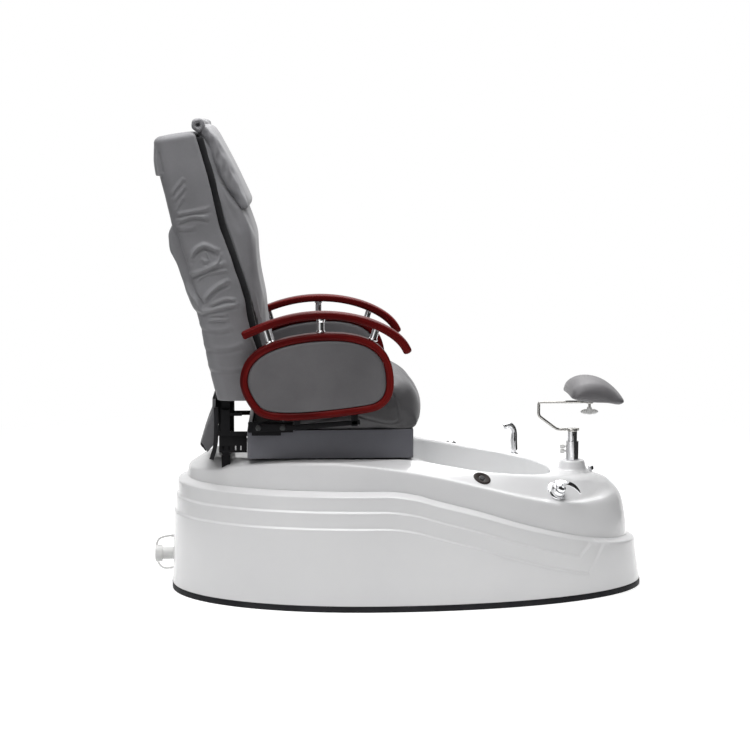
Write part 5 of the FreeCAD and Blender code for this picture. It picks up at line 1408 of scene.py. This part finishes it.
@dataclass
class SeatGroup:
    """Box, cushion, slide guard and bracket bolts that slide on the base."""

    half: float = 240.0
    rear: float = -476.0
    front: float = 8.0
    box_low: float = 428.0
    box_high: float = 513.0
    cushion_half: float = 244.0
    cushion: Points = (
        (-374, 509), (-371, 560), (-368, 610), (-365, 660), (-360, 687), (-345, 702), (-320, 707),
        (-260, 708), (-200, 706), (-140, 699), (-100, 690), (-75, 678), (-50, 664), (-20, 648), (6, 627),
        (19, 600), (26, 568), (28, 538), (25, 518), (10, 507), (-60, 505), (-150, 505), (-250, 505),
        (-340, 506))
    seam_inset: float = 62.0

    def panels(self) -> Surface:
        """Four leather-covered panels with rounded edges, chamfered at their foot."""
        low, high, wall = self.box_low, self.box_high, 12
        corners = [(0.0, low + 1), (0.0, high - 1), (wall, high), (wall, low), (1.5, low)]
        section = eased(np.array(corners), 2.0, 3)
        plan = rounded_section(self.front - self.rear, 2 * self.half, 7.0, 6)
        middle = (self.front + self.rear) / 2
        size = np.array([self.front - self.rear, 2 * self.half]) / 2
        rows = plan[None] * (1 - section[:, None, :1] / size)
        height = np.broadcast_to(section[:, None, 1:], rows.shape[:2] + (1,))
        return sheeted(np.concatenate([rows + (middle, 0), height], -1), Ends.LOOP)

    def slide_guard(self) -> Surface:
        """Louvred guard under the right rear bar: two strips with uprights between them."""
        rear, front = -559.0, -478.0
        strips = [block((rear, -211, low), (front, -208, high), 1.0)
                  for low, high in ((462, 490.5), (442, 449))]
        edges = [rear, -549, -545, -531, -528, -513, -509, -497, -494, front]
        uprights = [block((start, -210.6, 447), (end, -208.4, 464), 0.8)
                    for start, end in zip(edges[::2], edges[1::2])]
        return strips[0].joined(strips[1], *uprights)

    def stuffed_cushion(self) -> Thing:
        """Seat cushion, crowned and swollen, with its boxing seams."""
        form = Bolster(self.cushion, self.cushion_half, 74, 16,
                       weight=lambda outline: smoothstep((outline[:, 0] + 90) / 90) * smoothstep(
                           (outline[:, 1] - 508) / 30),
                       rounding=lambda outline: (0.08 + 0.92 * smoothstep((outline[:, 1] - 512) / 110)
                                                 * smoothstep((outline[:, 0] + 372) / 60)))
        # The cushion's cover takes the gray leather darkened as painted shade.
        piece = dressed("seat_cushion_cover", form.surface(4), "seat", SHADED_SEAT_LEATHER, ["seat_cushion"], None)
        outline = smooth_curve(self.cushion, 200, True)
        middle = outline.mean(0)
        reach = np.linalg.norm(outline - middle, axis=1)[:, None]
        seam = middle + (outline - middle) * (1 - self.seam_inset / reach)
        seam = np.vstack([seam, seam[:1]])

        def held(points: Array) -> Array:
            """Share held: the foot and the rear."""
            low = smoothstep((522 - points[:, 2]) / 12)
            rear = smoothstep((-355 - points[:, 0]) / 12)
            return np.maximum(low, rear)

        def seams(points: Array) -> Array:
            """Carves the boxing seam into both sides, with a swell beside it."""
            flat = points[:, [0, 2]]
            ahead = smoothstep((points[:, 0] + 330) / 60) * smoothstep((np.abs(points[:, 1]) - 195) / 25)
            groove = 3.0 * np.exp(-(distance_to(flat, seam) / 3.2) ** 2)
            pillow = 1.6 * np.exp(-(distance_to(flat, seam) / 16) ** 2)
            move = np.sign(points[:, 1]) * (pillow - groove) * ahead * smoothstep((points[:, 2] - 520) / 15)
            return points + np.stack([move * 0, move, move * 0], -1)
        Stuffing(6.0, 3.0, 9.0).fill(piece, held, seams)
        return piece

    def build(self) -> None:
        """Adds the seat's pieces."""
        dressed("seat_side_panels", self.panels(), "seat", PANEL_LEATHER, ["seat_box"], 50)
        self.stuffed_cushion()
        dressed("slide_guard", self.slide_guard(), "seat", BLACK_STEEL)
        for side, name in ((-1, "right"), (1, "left")):
            head = turned([(0, 14.2), (8.6, 14.2), (8.6, 17.0), (6.6, 19.4), (0, 19.8)],
                          (-443, side * 258, 524), (0, side, 0), 0.8, 28)
            dressed("bracket_bolt_" + name, head, "seat", DULL_ZINC)
        refinish(BLACK_STEEL, "arm_brackets", "seat_rails", "seat_frame")
        refinish(DARK_PAN, "seat_pan")
        refinish(BLACK_PLASTIC, "actuator_body")
        refinish(CHROME, "actuator_rod")


@dataclass
class Backrest:
    """Reclining back: soft slip cover with its wrap, pad, pillow, gusset and rear apron."""

    half: float = 250.0
    rear_line: Points = (
        (-562, 600), (-575, 648), (-599, 760), (-621, 864), (-655, 990), (-689, 1111), (-709, 1200),
        (-728, 1280), (-736, 1338))
    front_line: Points = (
        (-398, 600), (-428, 700), (-457, 780), (-476, 860), (-489, 922), (-517, 1005), (-531, 1049),
        (-549, 1100), (-559, 1140), (-573, 1205), (-601, 1310), (-615, 1358))
    pad_outline: Points = (
        (-611, 1372), (-612, 1354), (-593, 1270), (-569, 1180), (-511, 1002), (-453, 828), (-424, 720),
        (-402, 640), (-396, 622), (-374, 626), (-384, 664), (-408, 740), (-425, 817), (-429, 867),
        (-444, 950), (-452, 1023), (-456, 1087), (-470, 1136), (-502, 1176), (-545, 1258), (-583, 1356),
        (-598, 1372))
    pad_half: float = 236.0
    pillow_outline: Points = (
        (-608, 1376), (-590, 1344), (-570, 1300), (-549, 1257), (-526, 1214), (-503, 1180), (-486, 1150),
        (-470, 1150), (-474, 1175), (-517, 1268), (-558, 1344), (-588, 1390), (-600, 1398), (-610, 1390))
    pillow_half: float = 227.0
    panel_stand: Points = (
        (856, 0), (867, 6), (884, 10), (904, 12), (923, 15), (941, 16), (974, 17), (994, 18), (1018, 21),
        (1040, 24), (1073, 19), (1086, 15), (1097, 7), (1104, 0))
    panel_edge: Points = ((856, 22), (888, 18), (917, 8), (950, 4), (1104, 4))
    hood_stand: Points = ((1247, 0), (1250, 10), (1286, 8), (1318, 3), (1336, 0))
    folds: tuple = (
        Fold(((-631, 1008), (-625, 1023), (-611, 1038), (-596, 1045), (-578, 1040), (-557, 1029)), 6.5, 7.0),
        Fold(((-634, 962), (-612, 968), (-586, 977), (-568, 986), (-537, 992)), 5.0, 6.5),
        Fold(((-612, 947), (-599, 958), (-573, 968), (-533, 972)), 2.8, 4.5),
        Fold(((-593, 889), (-582, 904), (-569, 917), (-551, 931), (-529, 940)), 6.5, 7.0),
        Fold(((-574, 876), (-556, 884), (-534, 891), (-510, 889)), 4.0, 5.0),
        Fold(((-605, 854), (-583, 858), (-556, 864), (-503, 875)), 4.2, 6.0),
        Fold(((-583, 846), (-530, 848)), 2.4, 4.0),
        Fold(((-583, 832), (-528, 832)), 3.2, 5.0),
        Fold(((-652, 1232), (-683, 1194)), 3.4, 5.5),
        Fold(((-647, 1210), (-677, 1175)), 3.4, 5.5),
        Fold(((-653, 1178), (-675, 1142)), 3.0, 5.5),
        Fold(((-673, 1134), (-623, 1142), (-580, 1150)), 3.6, 6.0),
        Fold(((-667, 1115), (-645, 1123), (-624, 1128), (-586, 1123)), 4.6, 6.0),
        Fold(((-669, 1095), (-643, 1093), (-621, 1096)), 2.6, 6.0),
        Fold(((-590, 1030), (-581, 1005)), 3.0, 4.5),
        Fold(((-546, 1018), (-550, 1005), (-559, 994), (-568, 988)), 4.0, 5.0),
        Fold(((-600, 1004), (-588, 1000)), 5.0, 5.0),
        Fold(((-609, 812), (-560, 800), (-520, 806)), 2.4, 7.0),
        Fold(((-598, 752), (-540, 746), (-490, 756)), 2.0, 8.0),
        Fold(((-588, 690), (-520, 684), (-460, 694)), 1.8, 8.0),
    )

    roll_at: Points = (-609.0, 1391.5, 19.0, 229.0)
    apron_front: float = -573.0

    def cover(self) -> Surface:
        """Slip cover: a rounded oblong ring stacked up the back, closed over its top.

        Each ring lies in the slanted plane between its rear and front end. The top rows draw
        in by r (1 - cos a) and climb by r sin a. The folds and the wrap push it outwards.
        """
        rows, corner, edge = 230, 38.0, 8.0
        rear, front = smooth_curve(self.rear_line, rows), smooth_curve(self.front_line, rows)
        depth = np.linalg.norm(front - rear, axis=1)[:, None]
        lip, turn = np.linspace(0, math.pi / 2, 5), np.linspace(0, math.pi / 2, 26)
        run = np.linspace(0, 1, 52)[1:-1]
        ahead = [depth - edge + edge * np.cos(lip), corner + (depth - corner - edge) * (1 - run),
                 corner * (1 - np.sin(turn)) + 0 * depth]
        beside = [self.half - edge * (1 - np.sin(lip)), self.half + 0 * run,
                  self.half - corner * (1 - np.cos(turn))]
        p, q = np.concatenate(ahead, 1), np.broadcast_to(np.concatenate(beside), (rows, 5 + 50 + 26))
        middle = np.broadcast_to(np.linspace(1, -1, 72)[1:-1] * (self.half - corner), (rows, 70))
        p = np.concatenate([p, np.zeros((rows, 70)), p[:, ::-1]], 1)
        q = np.concatenate([q, middle, -q[:, ::-1]], 1)
        way = unit(front - rear)
        grid = np.stack([rear[:, :1] + way[:, :1] * p, q, rear[:, 1:] + way[:, 1:] * p], -1)
        return sheeted(self.capped(self.creased(grid, p)))

    def creased(self, grid: Array, behind: Array) -> Array:
        """Folds, loose rear panels and undulation, pushed square to the cover.

        Args:
            grid: rings of the cover.
            behind: each point's distance ahead of its ring's rear end.
        Returns:
            The grid moved.
        """
        down, across = np.gradient(grid, axis=0), np.gradient(grid, axis=1)
        normal = unit(np.cross(across, down))
        middle = grid.mean(axis=1, keepdims=True)
        normal *= np.where(((grid - middle) * normal).sum(-1, keepdims=True) < 0, -1, 1)
        x, y, z = grid.reshape(-1, 3).T
        mirrored = np.where(y > 0, 1.0, 0.0)
        plane = np.stack([x, z + 14 * mirrored * np.sin(z / 90)], -1)
        side = smoothstep((np.abs(y) - 120) / 110)
        lift = sum(fold.lift(plane) for fold in self.folds) * side * 1.05
        lift += self.panels(y, z, behind.ravel()) + self.undulation(x, y, z)
        return grid + normal * lift.reshape(grid.shape[:2] + (1,))

    def panels(self, y: Array, z: Array, behind: Array) -> Array:
        """Stand of the two loose panels behind: the hood's, and the longer one below it.

        Each stands off by its profile of Z, from its own edge backwards, and the cover is
        drawn in by a bell of 5 mm along the edge.
        """
        sway = 7 * np.sin(y / 75) * np.exp(-((np.abs(y) - 90) / 90) ** 2)
        edge = along(self.panel_edge, z)
        inside = smoothstep((edge - behind) / 3.0)
        long_one = along(self.panel_stand, z + sway) * (0.55 + 0.45 * smoothstep((np.abs(y) - 60) / 120))
        hood = along(self.hood_stand, z + sway) * smoothstep((9.0 - behind) / 3.0)
        there = smoothstep((z - 868) / 20) * smoothstep((1090 - z) / 20)
        tuck = -5.0 * np.exp(-((behind - edge - 4.5) / 3.0) ** 2) * there
        there = smoothstep((z - 1252) / 8) * smoothstep((1320 - z) / 20)
        tuck -= 5.0 * np.exp(-((behind - 13.0) / 3.0) ** 2) * there
        return long_one * inside + hood + tuck

    @staticmethod
    def undulation(x: Array, y: Array, z: Array) -> Array:
        """Loose waves of the cover, stronger across the middle and lower back."""
        loose = np.exp(-((z - 930) / 190) ** 2)
        waves = np.sin(z / 23 + 1.7 * np.sin(x / 60 + y / 140)) + np.sin(z / 11 - x / 40 + y / 90) * 0.5
        soft = np.sin(z / 70 + y / 110) * np.cos(y / 95 + 0.6) * 1.6
        return loose * waves + soft * smoothstep((1300 - z) / 120)

    def capped(self, grid: Array) -> Array:
        """Top rows that close the hood, drawn in towards its middle and rounded over."""
        last = grid[-1]
        middle = np.array([(last[:, 0].max() + last[:, 0].min()) / 2, 0.0, last[:, 2].mean() + 2])
        normal = unit(np.array([self.front_line[-1][0] - self.rear_line[-1][0], 0.0,
                                self.front_line[-1][1] - self.rear_line[-1][1]]))
        up = np.array([-normal[2], 0.0, normal[0]])
        radius = 24.0
        turn = np.linspace(0, math.pi / 2, 8)[1:, None, None]
        shrink = 1 - radius * (1 - np.cos(turn)) / (64.0, self.half, 64.0)
        over = middle + (last - middle) * shrink + up * radius * np.sin(turn) * 0.8
        centre = over[-1].mean(0)
        share = np.array([0.75, 0.45, 0.15])[:, None, None]
        return np.concatenate([grid, over, centre + (over[-1] - centre) * share + up * 3 * (1 - share)])

    def gusset(self) -> Surface:
        """Black cloth between the cover and the pad, a band along the front edge, set in."""
        path = at_side(smooth_curve(self.front_line, 90) + (8, 0), 0.0)
        ripple = 1.5 * np.sin(np.linspace(0, 46, 90))
        return carried(path, sized(rounded_section(1.0, 1.0, 0.2, 4), 2 * (233 + ripple), np.full(90, 30.0)))

    def stuffed_pad(self) -> Thing:
        """Back pad with its lumbar swell, vertical gathers at the top and a centre seam."""
        form = Bolster(self.pad_outline, self.pad_half, 20, 4, 220, 44,
                       weight=lambda outline: smoothstep((outline[:, 0] + 560) / 60),
                       rounding=lambda outline: 1 - 0.65 * smoothstep((outline[:, 1] - 1110) / 60))
        piece = dressed("back_pad_cover", form.surface(7), "backrest", GRAY_LEATHER, ["back_pad"], None)
        rear = np.array(self.front_line)

        def held(points: Array) -> Array:
            """Share held: the border that lies on the shell."""
            edge = np.interp(points[:, 2], rear[:, 1], rear[:, 0])
            return smoothstep(1 - (points[:, 0] - edge - 14) / 10)

        def gathers(points: Array) -> Array:
            """Gathers the upper sides and sinks the sewn channels."""
            x, y, z = points.T
            edge = np.interp(z, rear[:, 1], rear[:, 0])
            ahead = smoothstep((x - edge - 10) / 14)
            high = smoothstep((z - 1060) / 160)
            side = smoothstep((np.abs(y) - 150) / 60)
            gather = 2.4 * high * side * np.sin(z / 15 + (x - edge) / 6) * np.sin((x - edge) / 9)
            channel = -4.0 * np.exp(-((np.abs(y) - 85) / 5) ** 2) * ahead
            cross = -4.0 * sum(np.exp(-((z - at) / 5) ** 2) for at in (760.0, 1000.0)) * ahead
            cross *= smoothstep((180 - np.abs(y)) / 60)
            moved = points.copy()
            moved[:, 0] += channel * smoothstep((1100 - z) / 60) + cross
            moved[:, 1] += np.sign(y) * gather
            return moved
        Stuffing(6.0, 2.5, 12.0).fill(piece, held, gathers)
        return piece

    def stuffed_pillow(self) -> Thing:
        """Thin head pillow with gathered sides and a rolled tie at its top edge."""
        form = Bolster(self.pillow_outline, self.pillow_half, 9, 5, 170, 50)
        piece = dressed("head_pillow_cover", form.surface(2), "backrest", GRAY_LEATHER, ["head_pillow"], None)

        def gathers(points: Array) -> Array:
            """Ripples the face and fans its sides."""
            x, y, z = points.T
            side = smoothstep((np.abs(y) - 110) / 90)
            face = smoothstep((np.abs(y) - 212) / 10)
            fan = np.sin((x + 600 + 0.34 * (1390 - z)) / 4.6) * smoothstep((z - 1180) / 80)
            moved = points.copy()
            moved[:, 0] += 1.8 * side * np.sin(y / 9 + z / 60) + 1.2 * np.sin(y / 31 + z / 40)
            moved[:, 1] += np.sign(y) * 1.7 * face * fan
            return moved
        Stuffing(5.0, 2.0, 7.0).fill(piece, lambda points: np.zeros(len(points)), gathers)
        dressed("head_pillow_roll", self.roll(), "backrest", GRAY_LEATHER, sharp=None)
        return piece

    def roll(self) -> Surface:
        """Gathered roll along the pillow's top edge, with a dished hole at either end.

        Its radius is r (1 + 0.05 sin(y / 7 + 3 a) + 0.04 sin 5a) at an angle a, and the
        end rows turn in over a small radius and run back into the hole.
        """
        x, z, radius, half = self.roll_at
        bend = np.linspace(0, math.pi / 2, 6)
        end = np.concatenate([np.stack([radius - 7 + 7 * np.cos(bend), half - 7 + 7 * np.sin(bend)], -1),
                              [(8.0, half - 1), (5.4, half - 5), (4.6, half - 16), (1.0, half - 17)]])[::-1]
        middle = np.stack([np.full(130, radius), np.linspace(half - 8, 8 - half, 130)], -1)
        rows = np.concatenate([end, middle, end[::-1] * (1, -1)])
        turn = full_turn(64)
        near = np.clip(rows[:, :1] / radius, 0, 1)
        ripple = 0.05 * np.sin(rows[:, 1:] / 7 + 3 * turn) + 0.045 * np.sin(5 * turn + rows[:, 1:] / 60)
        reach = rows[:, :1] * (1 + near * ripple)
        return ringed(x + reach * np.cos(turn), rows[:, 1:], z + reach * np.sin(turn))

    def apron(self) -> Thing:
        """Cloth panel behind the seat: a hanging curve with side returns, its inner faces painted black as
        painted shade.
        """
        line = smooth_curve([(-577, 600), (-580, 560), (-594, 522), (-605, 490), (-613, 450), (-603, 424),
                             (-592, 415)], 60)
        turn = np.linspace(0, math.pi / 2, 6)
        reach = np.maximum(self.apron_front - line[:, :1], 9)
        back = np.concatenate([np.linspace(1, 0, 12, endpoint=False), 0 * turn])
        forward = np.concatenate([np.zeros(12), 8 * (1 - np.sin(turn))])
        depth = 8 + (reach - 8) * back - 8 * (back == 0) + forward * (back == 0)
        side = np.concatenate([np.full(12, 204.0), 196 + 8 * np.cos(turn)])
        y = np.concatenate([side, np.linspace(195, -195, 90), -side[::-1]])
        depth = np.concatenate([depth, np.zeros((60, 90)), depth[:, ::-1]], 1)
        share = np.linspace(0, 1, 60)[:, None]
        fold = 2.6 * share * (np.sin(y / 21) + 0.5 * np.sin(y / 9.5 + 1))[None] * (np.abs(y) < 190)
        cut = 0.08 + 0.24 * smoothstep((np.abs(y) - 70) / 120) - 0.14 * np.abs(depth[30] / depth[30].max())
        kept = share * (1 - cut) * 59
        x, z = (np.interp(kept, np.arange(60), column) for column in line.T)
        grid = np.stack([x + depth + fold, np.broadcast_to(y, x.shape), z], -1)
        cloth = sheeted(grid, Ends.OPEN, False)
        piece = dressed("rear_apron_cloth", cloth, "backrest", GRAY_CLOTH, ["rear_apron"], None)
        thick = piece.modifiers.new("thickness", "SOLIDIFY")
        thick.thickness, thick.offset = 0.0016, 0.0
        settle(piece)
        # Faces turned inwards take the black cloth: painted shade on the apron's inside, which stands in
        # shadow.
        inward = [(face.center.x + 0.55) * face.normal.x + 0.3 * face.center.y * face.normal.y < 0
                  for face in piece.data.polygons]
        piece.data.materials.append(BLACK_CLOTH.material())
        piece.data.polygons.foreach_set("material_index", np.array(inward, np.int32))
        self.edge_tapes()
        piece.parent = None
        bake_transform(piece)
        return piece

    @staticmethod
    def edge_tapes() -> None:
        """Black tapes that hang at the apron's two sides and curl back onto the deck."""
        line = [(-567, 207, 575), (-567, 208, 508), (-571, 214, 458), (-581, 224, 424)]
        left = carried(smooth_curve(line, 30), rounded_section(3.0, 13.0, 1.0, 2))
        piece = dressed("rear_apron_tapes", left.mirrored().joined(left), "backrest", BLACK_CLOTH, sharp=50)
        piece.parent = None
        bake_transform(piece)

    def build(self) -> None:
        """Adds the back's pieces."""
        dressed("back_slip_cover", self.cover(), "backrest", GRAY_LEATHER, ["back_shell", "back_wrap"], None)
        dressed("back_gusset", self.gusset(), "backrest", BLACK_CLOTH, sharp=None)
        self.stuffed_pad()
        self.stuffed_pillow()
        self.apron()
        refinish(BLACK_STEEL, "back_frame")
        refinish(BLACK_PLASTIC, "massage_carriage")


@dataclass
class Armrest:
    """One armrest: timber hoop round a leather pad, bowed rail on three posts, and its hinge bar."""

    hoop: Points = (
        (-383, 551), (-443, 566), (-476, 606), (-493, 652), (-476, 722), (-426, 764), (-345, 791),
        (-234, 802), (-150, 792), (-100, 769), (-68, 732), (-53, 672), (-62, 612), (-92, 582), (-135, 570),
        (-250, 556))
    hoop_bar: float = 22.0
    inner: float = 263.0
    outer: float = 313.0
    rail: Points = (
        (-490, 803), (-429, 829), (-369, 849), (-269, 863), (-189, 858), (-129, 844), (-69, 818),
        (-28, 788), (-8, 762), (0, 745))
    rail_thick: float = 22.0
    rail_wide: float = 56.0
    posts: Points = ((-408, 770, 16), (-262, 800, 0), (-113, 778, -18))
    post_radius: float = 11.5
    middle: float = 287.0

    def inset_line(self, amount: float, count: int = 220) -> Array:
        """Hoop's outline drawn in by an amount, square to itself, in X and Z."""
        line = smooth_curve(self.hoop, count, True)
        return line - outward_from(line) * amount

    def hoop_surface(self) -> Surface:
        """Timber hoop with a rounded section."""
        path = at_side(self.inset_line(self.hoop_bar / 2), (self.inner + self.outer) / 2)
        section = rounded_section(self.outer - self.inner, self.hoop_bar, 8.0, 6)
        return carried(path, section, ends=Ends.LOOP, lengthwise_uv=True)

    def rail_surface(self) -> Surface:
        """Bowed rail: a flat rounded section, squared at the rear and rounded over at the front.

        Near either end the section shrinks as the square root of 1 - u squared, with u how
        far a place is into the end.
        """
        top = smooth_curve(self.rail, 160)
        tangent = unit(np.gradient(top, axis=0))
        line = top + np.stack([tangent[:, 1], -tangent[:, 0]], -1) * self.rail_thick / 2
        s = np.linspace(-1, 1, 160)
        span, least = np.where(s < 0, 0.015, 0.04), np.where(s < 0, 0.78, 0.3)
        into = np.clip((np.abs(s) - 1 + span) / span, 0, 1)
        close = least + (1 - least) * np.sqrt(np.clip(1 - into**2, 0, 1))
        wide = self.rail_wide * (1 - 0.10 * np.abs(s) ** 3) * close
        thick = (self.rail_thick + 3.5 * smoothstep(s)) * close
        sections = sized(rounded_section(1.0, 1.0, 0.24, 6), wide, thick)
        return carried(at_side(line, self.middle), sections, lengthwise_uv=True)

    def pad_surface(self) -> Surface:
        """Leather pad inside the hoop, crowned on both faces with a rounded border.

        Its rows go from the rim to the middle of each face: at a share s from the rim the
        outline is scaled by 1 - s and the face stands out by depth (1 - (1 - s)^3).
        """
        rim = self.inset_line(self.hoop_bar + 0.3, 160)
        centre = rim.mean(0)
        share = np.concatenate([[0.0, 0.008, 0.02, 0.04, 0.065, 0.10, 0.15], np.linspace(0.22, 0.97, 12)])
        out = 17.5 + 6.0 * np.sqrt(1 - (1 - np.clip(share / 0.075, 0, 1)) ** 2) + 1.5 * share
        half = np.stack([at_side(centre + (rim - centre) * (1 - s), side) for s, side in zip(share, out)])
        return sheeted(np.concatenate([half[::-1] * (1, -1, 1), half]) + (0, self.middle + 1.0, 0))

    def post_surface(self, x: float, z: float, lean: float) -> Surface:
        """Chrome post between the hoop and the rail, with a stepped collar at either end."""
        way = np.array([-math.sin(math.radians(lean)), 0.0, math.cos(math.radians(lean))])
        foot = np.array([x, self.middle, z])
        length = float(np.interp(x, [-408, -262, -113], [64, 46, 52]))
        r = self.post_radius
        profile = [(0, 4), (r + 1.6, 4), (r + 1.6, 9), (r - 1.2, 12), (r - 1.2, length - 10),
                   (r + 1, length - 6), (r + 1, length + 2), (0, length + 2)]
        return turned(profile, foot - way * 4, way, 1.2, 40)

    def hinge_surface(self) -> Surface:
        """Black hinge bar below the hoop with its two struts."""
        line = np.array([(-458, 523.5), (-440, 525), (-343, 524), (-240, 531), (-149, 538.5)])
        path = in_between(at_side(line, 267.0), 8)
        high = np.interp(path[:, 0], [-458, -440, -343, -149], [24, 26, 15, 13])
        barred = carried(path, sized(rounded_section(1.0, 1.0, 0.12, 3), np.full(len(path), 10.0), high))
        struts = [block((x - 9, 264, 527), (x + 9, 272, top), 1.5) for x, top in ((-330, 561), (-165, 572))]
        return barred.joined(*struts)

    def build(self, side: str) -> None:
        """Adds one side's armrest.

        Args:
            side: left or right.
        """
        def add(name: str, surface: Surface, finish: Finish, node: str = "",
                sharp: Optional[float] = 35.0) -> Thing:
            """Adds a piece of this side, mirrored on the right."""
            surface = surface if side == "left" else surface.mirrored()
            replaced = [f"{node}_{side}"] if node else []
            return dressed(f"{name}_{side}", surface, "armrest_" + side, finish, replaced, sharp)
        add("arm_hoop_timber", self.hoop_surface(), MAHOGANY, "arm_hoop", 60)
        add("arm_rail_timber", self.rail_surface(), MAHOGANY, "arm_rail", 60)
        add("arm_pad_cover", self.pad_surface(), PAD_LEATHER, "arm_pad", None)
        posts = [self.post_surface(*post) for post in self.posts]
        add("arm_posts", posts[0].joined(*posts[1:]), CHROME, "arm_metal")
        add("arm_hinge_bar", self.hinge_surface(), BLACK_STEEL)
        head = [(0, 0), (8.6, 0), (8.6, 2.8), (6.6, 5.2), (0, 5.6)]
        add("arm_bar_bolt", turned(head, (-373, 272, 524), (0, 1, 0), 0.8, 28), DULL_ZINC)


@dataclass
class Footrest:
    """Chrome post on the nose with a bent rod that carries the saddle-shaped foot pad."""

    post_x: float = 508.0
    rod: Points = ((528, 471.4), (461, 471.4), (404, 514), (404, 556), (549, 556))
    rod_radius: float = 4.5
    pad_outline: Points = (
        (488, 592), (492, 606), (504, 620), (526, 631), (551, 634), (588, 627), (625, 605), (648, 582),
        (654, 569), (647, 560), (612, 560), (560, 564), (524, 569), (502, 572), (489, 577), (485, 584))
    pad_half: float = 112.0
    stem_x: float = 559.0

    def rod_surface(self) -> Surface:
        """Bent rod with crisp rounded corners."""
        line = eased(np.array([(x, 0.0, z) for x, z in self.rod]), 9.0, 8, 0.45)
        return bar(in_between(line, 2), self.rod_radius, 24)

    def stuffed_pad(self) -> Thing:
        """Foot pad: a teardrop saddle, crowned along its middle and drooping to both sides."""
        form = Bolster(self.pad_outline, self.pad_half, 26, 3, 110, 36)
        surface = form.surface(3)
        x, y, z = surface.points.T
        droop = 16 * (y / self.pad_half) ** 2 * smoothstep((z - 560) / 40)
        surface = surface.moved(np.stack([x, y, z - droop], -1))
        piece = dressed("foot_pad_cover", surface, "foot_pad", PAD_LEATHER, ["footpad"], None)
        held = lambda points: smoothstep((574 - points[:, 2]) / 8)
        Stuffing(5.0, 2.5, 5.0).fill(piece, held)
        return piece

    def wing_knob(self) -> Surface:
        """Pale wing nut below the eye: a turned hub between two rounded wings.

        The wings' section at x is an ellipse 4 thick and 5.2 + 2.6 sin^2(pi |x| / 27) high.
        """
        hub = turned([(0, 518), (8, 518), (9, 521), (8.6, 534), (6, 541), (0, 541)],
                     (self.stem_x, 0, 0), ease=1.5)
        path = np.stack([self.stem_x + np.linspace(-27, 27, 49), np.zeros(49), np.full(49, 526.0)], -1)
        reach = np.abs(np.linspace(-1, 1, 49))
        high = (5.0 + 2.8 * np.sin(math.pi * reach) ** 2) * np.sqrt(1 - reach**6 * 0.97)
        wings = carried(path, sized(circle(24), 4.2 * np.sqrt(1 - reach**8 * 0.9), high))
        return hub.joined(wings)

    def clamp(self, z: float) -> Surface:
        """Small clamp screw with a fluted head towards the sitter."""
        turn = full_turn(48)
        corners = [(0.3, 0.0), (3, 0), (3, 8), (6, 8), (6.5, 12), (6.5, 20), (5, 22), (0.3, 22)]
        rows = eased(np.array(corners), 0.8, 3)
        flute = np.where((rows[:, :1] > 6) & (rows[:, 1:] > 9), 1 + 0.05 * np.cos(8 * turn), 1.0)
        reach = rows[:, :1] * flute
        return ringed(self.post_x - 15.6 - rows[:, 1:], reach * np.cos(turn), z + reach * np.sin(turn))

    def build(self) -> None:
        """Adds the footrest's pieces."""
        cap = turned([(0, 430), (10.9, 430), (10.9, 466.2), (15.4, 466.2), (15.4, 473.5), (14, 475),
                      (0, 475)], (self.post_x, 0, 0), ease=0.8)
        eye = turned([(0, 551.5), (11, 551.5), (11, 560.5), (0, 560.5)], (self.stem_x, 0, 0), ease=0.8)
        dressed("footrest_bent_rod", self.rod_surface().joined(cap, eye), "footrest_arm", DULL_CHROME,
                ["footrest_rod"], 40)
        self.stuffed_pad()
        dressed("foot_pad_hand_nut", self.wing_knob(), "foot_pad_nut", WHITE_PLASTIC, ["pad_knob"], 50)
        for name, z in (("upper", 420.0), ("lower", 405.0)):
            dressed("clamp_head_" + name, self.clamp(z), "clamp_" + name, WHITE_PLASTIC,
                    ["clamp_knob_" + name], 50)
        refinish(CHROME, "post_sleeve", "footrest_tube")
        refinish(DULL_CHROME, "footpad_plate")


def main() -> None:
    """Builds the chair in order and reports each piece."""
    logging.basicConfig(level=logging.INFO, format="%(name)s: %(message)s")
    Photograph().build()
    MainsCord().build()
    FootBath().build()
    DeckFittings().build()
    SeatGroup().build()
    Backrest().build()
    for side in ("left", "right"):
        Armrest().build(side)
    Footrest().build()
    Room().build()


if __name__ == "__main__":
    main()
